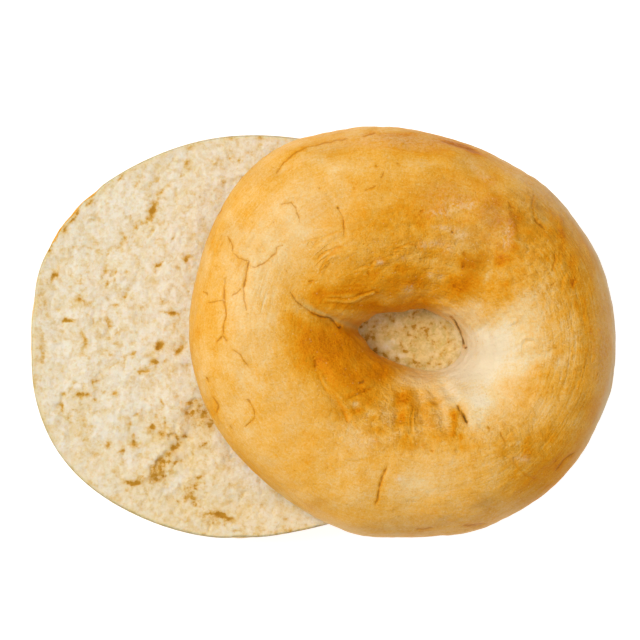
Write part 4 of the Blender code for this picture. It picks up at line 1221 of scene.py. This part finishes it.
def makeCrumb(name, half, material):
    mesh = crumbSlab(name, half)
    points = readPoints(mesh)
    onFace = np.abs(points[:, 2]) < crumb["slab"] / 2
    far = np.hypot(points[:, 0], points[:, 1])
    inner, outer = cutEdges(half, np.arctan2(points[:, 1], points[:, 0]))
    fromRim = np.minimum(far - inner, outer - far)
    x, y = asSeen(points, half) if half is bottom else (points[:, 0], points[:, 1])
    flat = np.stack([x, y, np.zeros(len(x))], axis=1)
    wave = 0.5 + 0.5 * bumps(flat, crumb["dipSize"], half["seed"] + crumb["dipSeed"])
    dip = np.clip(crumb["dip"] * wave, 0, None)
    curds = uneven(flat, crumb["curds"])
    strayX, strayY = strayed(x, y, flat, crumb["stray"])

    def partly(amount):  # places that stray by that share
        return x + amount * (strayX - x), y + amount * (strayY - y)

    hollow = softHollows(x, y, strayX, strayY, flat, half)
    golden = np.zeros(len(x))
    swellAndLight = np.zeros(len(x))
    gold = np.zeros(len(x))
    if half is bottom:
        for spots, amount, edge in goldenMarks:
            golden += spread(*partly(amount), fromPixels(spots, "bottomHole"), edge)
        swellAndLight = spread(x, y, fromPixels(paleSwellsAndLitPlaces, "bottomHole"))
        # more golden, and in the hole painted warm light bounced from the crust
        gold = spread(x, y, crumbGoldAndBounceLight) + crumb["frontGold"]["amount"] * step(*crumb["frontGold"]["from"], y)
        drop, lip = tornStep(*partly(tear["stray"]), flat)
        dip += drop
        curds -= lip
    cells = openCells(*partly(crumb["cellStray"]), half)

    depths = crumb["depths"]
    pits = depths["cells"] * cells + depths["hollow"] * hollow + depths["golden"] * golden
    pits += depths["veryGolden"] * np.clip(golden - crumb["veryGolden"], 0, 1) - depths["swellAndLight"] * swellAndLight
    depth = dip * step(0, crumb["dipStarts"], fromRim)
    depth += (depths["plain"] + curds + pits) * step(0, crumb["curdsStart"], fromRim)
    depth = np.clip(depth + depths["lower"], depths["least"], depths["most"])
    points[:, 2] = np.where(onFace, depth * half["inwards"], points[:, 2])
    placePoints(mesh, points)

    mark = crumb["cellMark"]
    cell = np.clip(golden, 0, mark["most"]) + mark["cells"] * cells + mark["hollow"] * hollow
    rimGold = crumb["rimGold"]["amount"] * (1 - step(*crumb["rimGold"]["within"], fromRim))
    paint(mesh, "cell", np.where(onFace, cell, 0))
    paint(mesh, "low", np.where(onFace, dip * crumb["lowMark"] + curds, 0))
    paint(mesh, "gold", gold + rimGold - swellAndLight)
    return finishPiece(mesh, name, half, material)


# Materials. A wire is a socket that can be added, multiplied and so on.
class Wire:
    def __init__(self, recipe, socket):
        self.recipe = recipe
        self.socket = socket

    def join(self, operation, *values):
        return self.recipe.node("ShaderNodeMath", {"operation": operation}, dict(enumerate(values)))

    def __add__(self, other):
        return self.join("ADD", self, other)

    def __radd__(self, other):
        return self.join("ADD", other, self)

    def __sub__(self, other):
        return self.join("SUBTRACT", self, other)

    def __rsub__(self, other):
        return self.join("SUBTRACT", other, self)

    def __mul__(self, other):
        return self.join("MULTIPLY", self, other)

    def __rmul__(self, other):
        return self.join("MULTIPLY", other, self)

    def __abs__(self):
        return self.join("ABSOLUTE", self)

    def clip(self):
        return self.recipe.node("ShaderNodeClamp", {}, {0: self})

    def rise(self, low, high):  # from 0 at low to 1 at high
        smooth = {"interpolation_type": "SMOOTHSTEP"}
        return self.recipe.node("ShaderNodeMapRange", smooth, {0: self, 1: low, 2: high})


class Recipe:  # one material
    def __init__(self, name):
        self.material = bpy.data.materials.new(name)
        self.material.use_nodes = True
        self.tree = self.material.node_tree
        self.shader = self.tree.nodes["Principled BSDF"]
        self.place = self.node("ShaderNodeTexCoord", {}, {}, "Object")

    def node(self, kind, settings, sockets, output=0):
        made = self.tree.nodes.new(kind)
        for name, value in settings.items():
            if name == "stops":
                self.setStops(made.color_ramp, value)
            else:
                setattr(made, name, value)
        for name, value in sockets.items():
            self.feed(made.inputs[name], value)
        return Wire(self, made.outputs[output])

    def setStops(self, ramp, stops):
        while len(ramp.elements) < len(stops):
            ramp.elements.new(0.5)
        for element, (position, colour) in zip(ramp.elements, stops):
            element.position = position
            element.color = (*colour, 1)

    def feed(self, socket, value):
        if isinstance(value, Wire):
            self.tree.links.new(value.socket, socket)
        elif isinstance(value, tuple) and len(value) == 3 and socket.type == "RGBA":
            socket.default_value = (*value, 1)
        else:
            socket.default_value = value

    def painted(self, name, output="Fac"):
        return self.node("ShaderNodeAttribute", {"attribute_name": name}, {}, output)

    def longness(self, vector):  # a vector's length
        return self.node("ShaderNodeVectorMath", {"operation": "LENGTH"}, {0: vector}, "Value")

    def scaled(self, vector, factors):
        return self.node("ShaderNodeVectorMath", {"operation": "MULTIPLY"}, {0: vector, 1: factors})

    def grain(self, size, detail=3.0, roughness=0.55, place=None):
        # noise from 0 to 1 with bumps of that size, in millimetres on the piece or in the place's own unit
        scale = 1 / (size * mm) if place is None else 1 / size
        sockets = {"Vector": place or self.place, "Scale": scale, "Detail": detail, "Roughness": roughness}
        return self.node("ShaderNodeTexNoise", {}, sockets)

    def dots(self, size):  # distance from scattered points, in shares of their spacing
        sockets = {"Vector": self.place, "Scale": 1 / (size * mm)}
        return self.node("ShaderNodeTexVoronoi", {}, sockets, "Distance")

    def mix(self, share, first, second, blend="MIX"):
        colours = {"data_type": "RGBA", "blend_type": blend}
        return self.node("ShaderNodeMix", colours, {0: share, 6: first, 7: second}, 2)

    def ramp(self, value, stops):
        return self.node("ShaderNodeValToRGB", {"stops": stops}, {0: value})

    def bump(self, height, distance, under=None):
        sockets = {"Height": height, "Distance": distance * mm}
        if under is not None:
            sockets["Normal"] = under
        return self.node("ShaderNodeBump", {}, sockets)

    def surface(self, **values):
        for name, value in values.items():
            self.feed(self.shader.inputs[name.replace("_", " ")], value)


# Colours are linear. A size is that of a noise's bumps and a relief its height, in millimetres.
crustLook = {
    "ramp": [  # from raw dough to dark brown
        (0.00, (0.80, 0.66, 0.43)),
        (0.20, (0.79, 0.57, 0.27)),
        (0.40, (0.78, 0.46, 0.135)),
        (0.55, (0.76, 0.38, 0.050)),
        (0.70, (0.73, 0.30, 0.010)),
        (0.85, (0.69, 0.228, 0.001)),
        (1.00, (0.53, 0.145, 0.001)),
    ],
    "toasted": (0.60, 0.24, 0.008),
    # multiplied in for painted shade along the edges, and to darken other places
    "dull": (0.79, 0.77, 0.76),
    "fleck": (0.86, 0.66, 0.36),
    # flour, and painted glare and highlights
    "sheen": (0.68, 0.55, 0.34),
    # painted reflection of the white surroundings, along the right edge
    "dust": (0.80, 0.56, 0.30),
    "scar": (0.66, 0.385, 0.09),
    "shallowCrack": (0.48, 0.165, 0.004),
    "deepCrack": (0.22, 0.105, 0.016),
    "size": {"blotch": 3.0, "patch": 2.2, "fine": 0.7, "grit": 0.42, "streak": 0.7, "flour": 0.8, "pore": 2.1,
             "fleck": 1.3, "wobble": 0.9, "broken": 1.6},
    "streakAlong": (0.09, 0.09, 0.9),  # round the ring streaks are ten times as long
    "toastedMost": 0.5,
    "flourMost": 0.75,
    "poreMost": 0.55,
    "fleckMost": 0.22,
    "crackMost": 0.95,
    "relief": {"streak": 0.22, "fleck": 0.12, "fine": 0.32, "pore": 0.10, "patch": 0.35, "fold": 0.14,
               "crack": 0.10},
    "roughness": 0.5,
    "coatRoughness": 0.38,
    "specular": 0.05,
    "scatter": (0.05, (1.0, 0.45, 0.15)),
}
crumbLook = {
    "face": (0.71, 0.56, 0.32),
    "pale": (0.78, 0.71, 0.575),
    # in the hole, painted warm light bounced from the crust
    "warm": (0.80, 0.60, 0.28),
    "tan": (0.76, 0.51, 0.17),
    # painted shade among the crumb's cells in the hole
    "shadeMottle": (0.50, 0.345, 0.07),
    "hollow": [  # from a shallow golden hollow to the bottom of a deep cell, darker with depth: golden tone and painted shade of the cells
        (0.00, (0.74, 0.56, 0.27)),
        (0.40, (0.68, 0.47, 0.17)),
        (0.70, (0.64, 0.38, 0.09)),
        (1.00, (0.46, 0.22, 0.02)),
    ],
    "size": {"cloud": 3.0, "curd": 1.2, "speck": 0.6, "blot": 2.1, "thread": 2.4, "shadeMottle": 2.4,
             "smallShadeMottle": 0.8, "grit": 0.4},
    "relief": {"curd": 0.26, "grit": 0.09},
    "roughness": 0.9,
    "specular": 0.1,
    "scatter": (0.4, (1.0, 0.7, 0.35)),
}
scatterReach = 1.0  # how far light gets under the skin, in millimetres


def crustMaterial():
    recipe = Recipe("bakedCrust")
    size, relief = crustLook["size"], crustLook["relief"]
    rolled = recipe.scaled(recipe.painted("rolled", "Vector"), crustLook["streakAlong"])
    streak = recipe.grain(size["streak"], 3.0, 0.6, rolled)
    streaky = recipe.painted("streaky")
    blotch = recipe.grain(size["blotch"], 4.0, 0.6)
    patch = recipe.grain(size["patch"], 2.0, 0.5)
    fine = recipe.grain(size["fine"], 3.0, 0.75)
    grit = recipe.grain(size["grit"], 1.0, 0.6)
    mottled = recipe.painted("mottled")

    # folds and cracks
    foldNear = recipe.painted("foldNear")
    foldSide = recipe.painted("foldSide") + (blotch - 0.5) * 0.4
    groove = (1 - abs(foldSide).rise(0.0, 0.5)) * foldNear
    ridge = (1 - abs(foldSide - 0.85).rise(0.0, 0.7)) * foldNear
    wobble = (recipe.grain(size["wobble"], 2.0, 0.6) - 0.5) * 0.35
    away = recipe.longness(recipe.painted("crackOffset", "Vector")) + wobble
    near = recipe.painted("crackNear")
    broken = recipe.grain(size["broken"], 2.0, 0.6)
    halo = (1 - away.rise(0.15, 0.85)) * near.clip()
    line = (1 - away.rise(0.05, near * (broken * 0.6) + 0.13)) * (near * 0.8 + 0.32) * near.rise(0.03, 0.12)
    line = line * (0.6 + broken.rise(0.35, 0.55) * 0.4)

    # how brown, as painted and made uneven
    bake = recipe.painted("bake") + (blotch - 0.5) * (0.25 + mottled * 0.3)
    # fold grooves are painted browner and their ridges paler: painted shade and highlight
    bake = bake + (fine - 0.5) * (0.34 + mottled * 0.08) + groove * 0.17 - ridge * 0.07 + halo * 0.23
    bake = bake + (grit - 0.5) * (0.34 - mottled * 0.12) + (streak - 0.5) * streaky * 0.5
    colour = recipe.ramp(bake.clip(), crustLook["ramp"])
    toasted = patch.rise(0.46, 0.64) * mottled * crustLook["toastedMost"] * bake.rise(0.35, 0.6)
    colour = recipe.mix(toasted.clip(), colour, crustLook["toasted"])
    # painted shade along the edges that turn from the light, and darker without being browner elsewhere
    colour = recipe.mix(recipe.painted("dull").clip(), colour, crustLook["dull"], "MULTIPLY")

    # flour with painted glare, stretched skin, and a painted sheen at the right edge for the white
    # surroundings it reflects
    flour = recipe.grain(size["flour"], 3.0, 0.7)
    # flour, with painted glare and highlights where the light catches the skin
    dust = recipe.painted("dust")
    flourAndGlareShare = dust * flour.rise(0.34, 0.68) * crustLook["flourMost"] + (dust - 1).rise(0.0, 0.8) * 0.6
    colour = recipe.mix(flourAndGlareShare.clip(), colour, crustLook["dust"])
    colour = recipe.mix((recipe.painted("scar") * (0.5 + patch * 0.8)).clip(), colour, crustLook["scar"])
    colour = recipe.mix((recipe.painted("sheen") * (0.7 + blotch * 0.6)).clip(), colour, crustLook["sheen"])

    # pores, pale flecks and the cracks' own colour
    pore = recipe.dots(size["pore"])
    pores = (1 - pore.rise(0.05, 0.13)) * blotch.rise(0.42, 0.62)
    colour = recipe.mix(pores * crustLook["poreMost"], colour, crustLook["toasted"])
    fleck = recipe.dots(size["fleck"])
    flecks = (1 - fleck.rise(0.08, 0.2)) * patch.rise(0.45, 0.6)
    colour = recipe.mix(flecks * crustLook["fleckMost"], colour, crustLook["fleck"])
    crackColour = recipe.mix(near.rise(0.62, 0.95), crustLook["shallowCrack"], crustLook["deepCrack"])
    colour = recipe.mix((line * crustLook["crackMost"]).clip(), colour, crackColour)

    rough = mottled * 0.8 + 0.3
    height = recipe.bump(streak * streaky, relief["streak"])
    height = recipe.bump(fleck * rough, relief["fleck"], height)
    height = recipe.bump((fine + grit * 0.5) * rough, relief["fine"], height)
    height = recipe.bump(pore.rise(0.0, 0.16), relief["pore"], height)
    height = recipe.bump(patch * rough, relief["patch"], height)
    height = recipe.bump(ridge * 0.6 - groove, relief["fold"], height)
    height = recipe.bump(1 - line, relief["crack"], height)
    scattered, reaches = crustLook["scatter"]
    recipe.surface(
        Base_Color=colour,
        Roughness=crustLook["roughness"],
        Normal=height,
        Subsurface_Weight=scattered,
        Subsurface_Radius=reaches,
        Subsurface_Scale=scatterReach * mm,
        Specular_IOR_Level=crustLook["specular"],
        Coat_Weight=recipe.painted("shine"),
        Coat_Roughness=crustLook["coatRoughness"],
    )
    return recipe.material


def crumbMaterial():
    recipe = Recipe("softCrumb")
    size, relief = crumbLook["size"], crumbLook["relief"]
    gold = recipe.painted("gold")
    cloud = recipe.grain(size["cloud"], 5.0, 0.7)
    curd = recipe.grain(size["curd"], 4.0, 0.75)
    speck = recipe.grain(size["speck"], 2.0, 0.6)
    blot = recipe.grain(size["blot"], 2.0, 0.6)
    thread = (1 - abs(recipe.grain(size["thread"], 3.0, 0.6) - 0.5).rise(0.0, 0.035)) * cloud.rise(0.40, 0.56)

    # from pale crumb to golden and tan, with painted shade mottled in the hole
    golden = cloud.rise(0.44, 0.66) * 0.6 + curd.rise(0.42, 0.72) * 0.5 + speck.rise(0.5, 0.7) * 0.12
    # lower places painted more golden: painted shade of the hollows
    golden = golden + recipe.painted("low") * 0.4 + gold * 0.6 - 0.15
    colour = recipe.mix(golden.clip(), crumbLook["pale"], crumbLook["face"])
    # warm and tan tints, which in the hole are painted warm light bounced from the crust
    colour = recipe.mix((gold * (0.5 + cloud * 0.9)).clip(), colour, crumbLook["warm"])
    colour = recipe.mix((gold.rise(0.45, 1.0) * (0.2 + cloud)).clip(), colour, crumbLook["tan"])
    # painted shade among the cells of the crumb in the hole, as dark olive mottling
    shadeMottle = recipe.grain(size["shadeMottle"], 4.0, 0.7).rise(0.44, 0.60) * 0.6
    shadeMottle = shadeMottle + recipe.grain(size["smallShadeMottle"], 2.0, 0.6).rise(0.45, 0.65) * 0.25
    colour = recipe.mix((gold.rise(0.35, 0.8) * shadeMottle).clip(), colour, crumbLook["shadeMottle"])

    # hollows and air cells
    uneven = blot.rise(0.42, 0.76) * 0.6 + curd.rise(0.48, 0.78) * 0.28 + thread * 0.12
    # air cells darker and more golden the deeper they are: golden tone with painted shade
    cell = recipe.painted("cell") * (0.15 + curd * 1.7) + uneven * (0.7 + gold.clip() * 0.6)
    hollow = recipe.ramp(cell.clip(), crumbLook["hollow"])
    colour = recipe.mix((cell * (1.35 - gold.clip() * 0.45)).clip(), colour, hollow)
    height = recipe.bump(curd, relief["curd"])
    height = recipe.bump(recipe.grain(size["grit"], 3.0, 0.6), relief["grit"], height)
    scattered, reaches = crumbLook["scatter"]
    recipe.surface(
        Base_Color=colour,
        Roughness=crumbLook["roughness"],
        Normal=height,
        Subsurface_Weight=scattered,
        Subsurface_Radius=reaches,
        Subsurface_Scale=scatterReach * mm,
        Specular_IOR_Level=crumbLook["specular"],
    )
    return recipe.material


# Floor, light and camera, in metres.
studio = {
    "floorSize": 3.0,
    "floor": (0.55, 0.55, 0.55),
    "floorRoughness": 0.9,
    "floorGlow": 0.74,
    "white": (1.0, 1.0, 1.0),
    "sky": 0.31,
    # where each lamp hangs, how wide it is and how strong; the fill is overhead and reaches into the hole
    "key": {"from": (-0.63, 0.33, 0.87), "size": 0.7, "power": 8.9},
    "fill": {"from": (0.05, -0.06, 0.9), "size": 1.3, "power": 3.4},
    "sees": (0.01, 10.0),  # the nearest and farthest that the camera shows
}


def makeFloor():
    shape = bmesh.new()
    bmesh.ops.create_grid(shape, x_segments=1, y_segments=1, size=studio["floorSize"])
    mesh = bpy.data.meshes.new("floor")
    shape.to_mesh(mesh)
    shape.free()
    floor = bpy.data.objects.new("floor", mesh)
    bpy.context.scene.collection.objects.link(floor)
    recipe = Recipe("paleFloor")
    recipe.surface(
        Base_Color=studio["floor"],
        Roughness=studio["floorRoughness"],
        Specular_IOR_Level=0.0,
        Emission_Color=studio["white"],
        Emission_Strength=studio["floorGlow"],
    )
    mesh.materials.append(recipe.material)


def makeLight():
    world = bpy.data.worlds.new("studio")
    world.use_nodes = True
    sky = world.node_tree.nodes["Background"].inputs
    sky["Color"].default_value = (*studio["white"], 1.0)
    sky["Strength"].default_value = studio["sky"]
    bpy.context.scene.world = world
    for name in ("key", "fill"):
        lamp = bpy.data.lights.new(name, "AREA")
        lamp.shape = "DISK"
        lamp.size = studio[name]["size"]
        lamp.energy = studio[name]["power"]
        light = bpy.data.objects.new(name, lamp)
        bpy.context.scene.collection.objects.link(light)
        light.location = studio[name]["from"]
        light.rotation_euler = (-light.location).to_track_quat("-Z", "Y").to_euler()


def makeCamera():
    lens = bpy.data.cameras.new("above")
    lens.lens = photo["lens"]
    lens.sensor_width = photo["sensor"]
    lens.clip_start, lens.clip_end = studio["sees"]
    camera = bpy.data.objects.new("above", lens)
    bpy.context.scene.collection.objects.link(camera)
    camera.location = (Vector(photo["middle"]) + Vector((0, 0, cameraDistance()))) * mm
    bpy.context.scene.camera = camera
    bpy.context.scene.view_settings.view_transform = "Standard"


crustFinish = crustMaterial()
crumbFinish = crumbMaterial()
print("materials ready")
makeTopCrust(crustFinish)
makeBottomCrust(crustFinish)
makeCrumb("bottomCrumb", bottom, crumbFinish)
makeCrumb("topCrumb", top, crumbFinish)
makeFloor()
makeLight()
makeCamera()
print("studio ready")
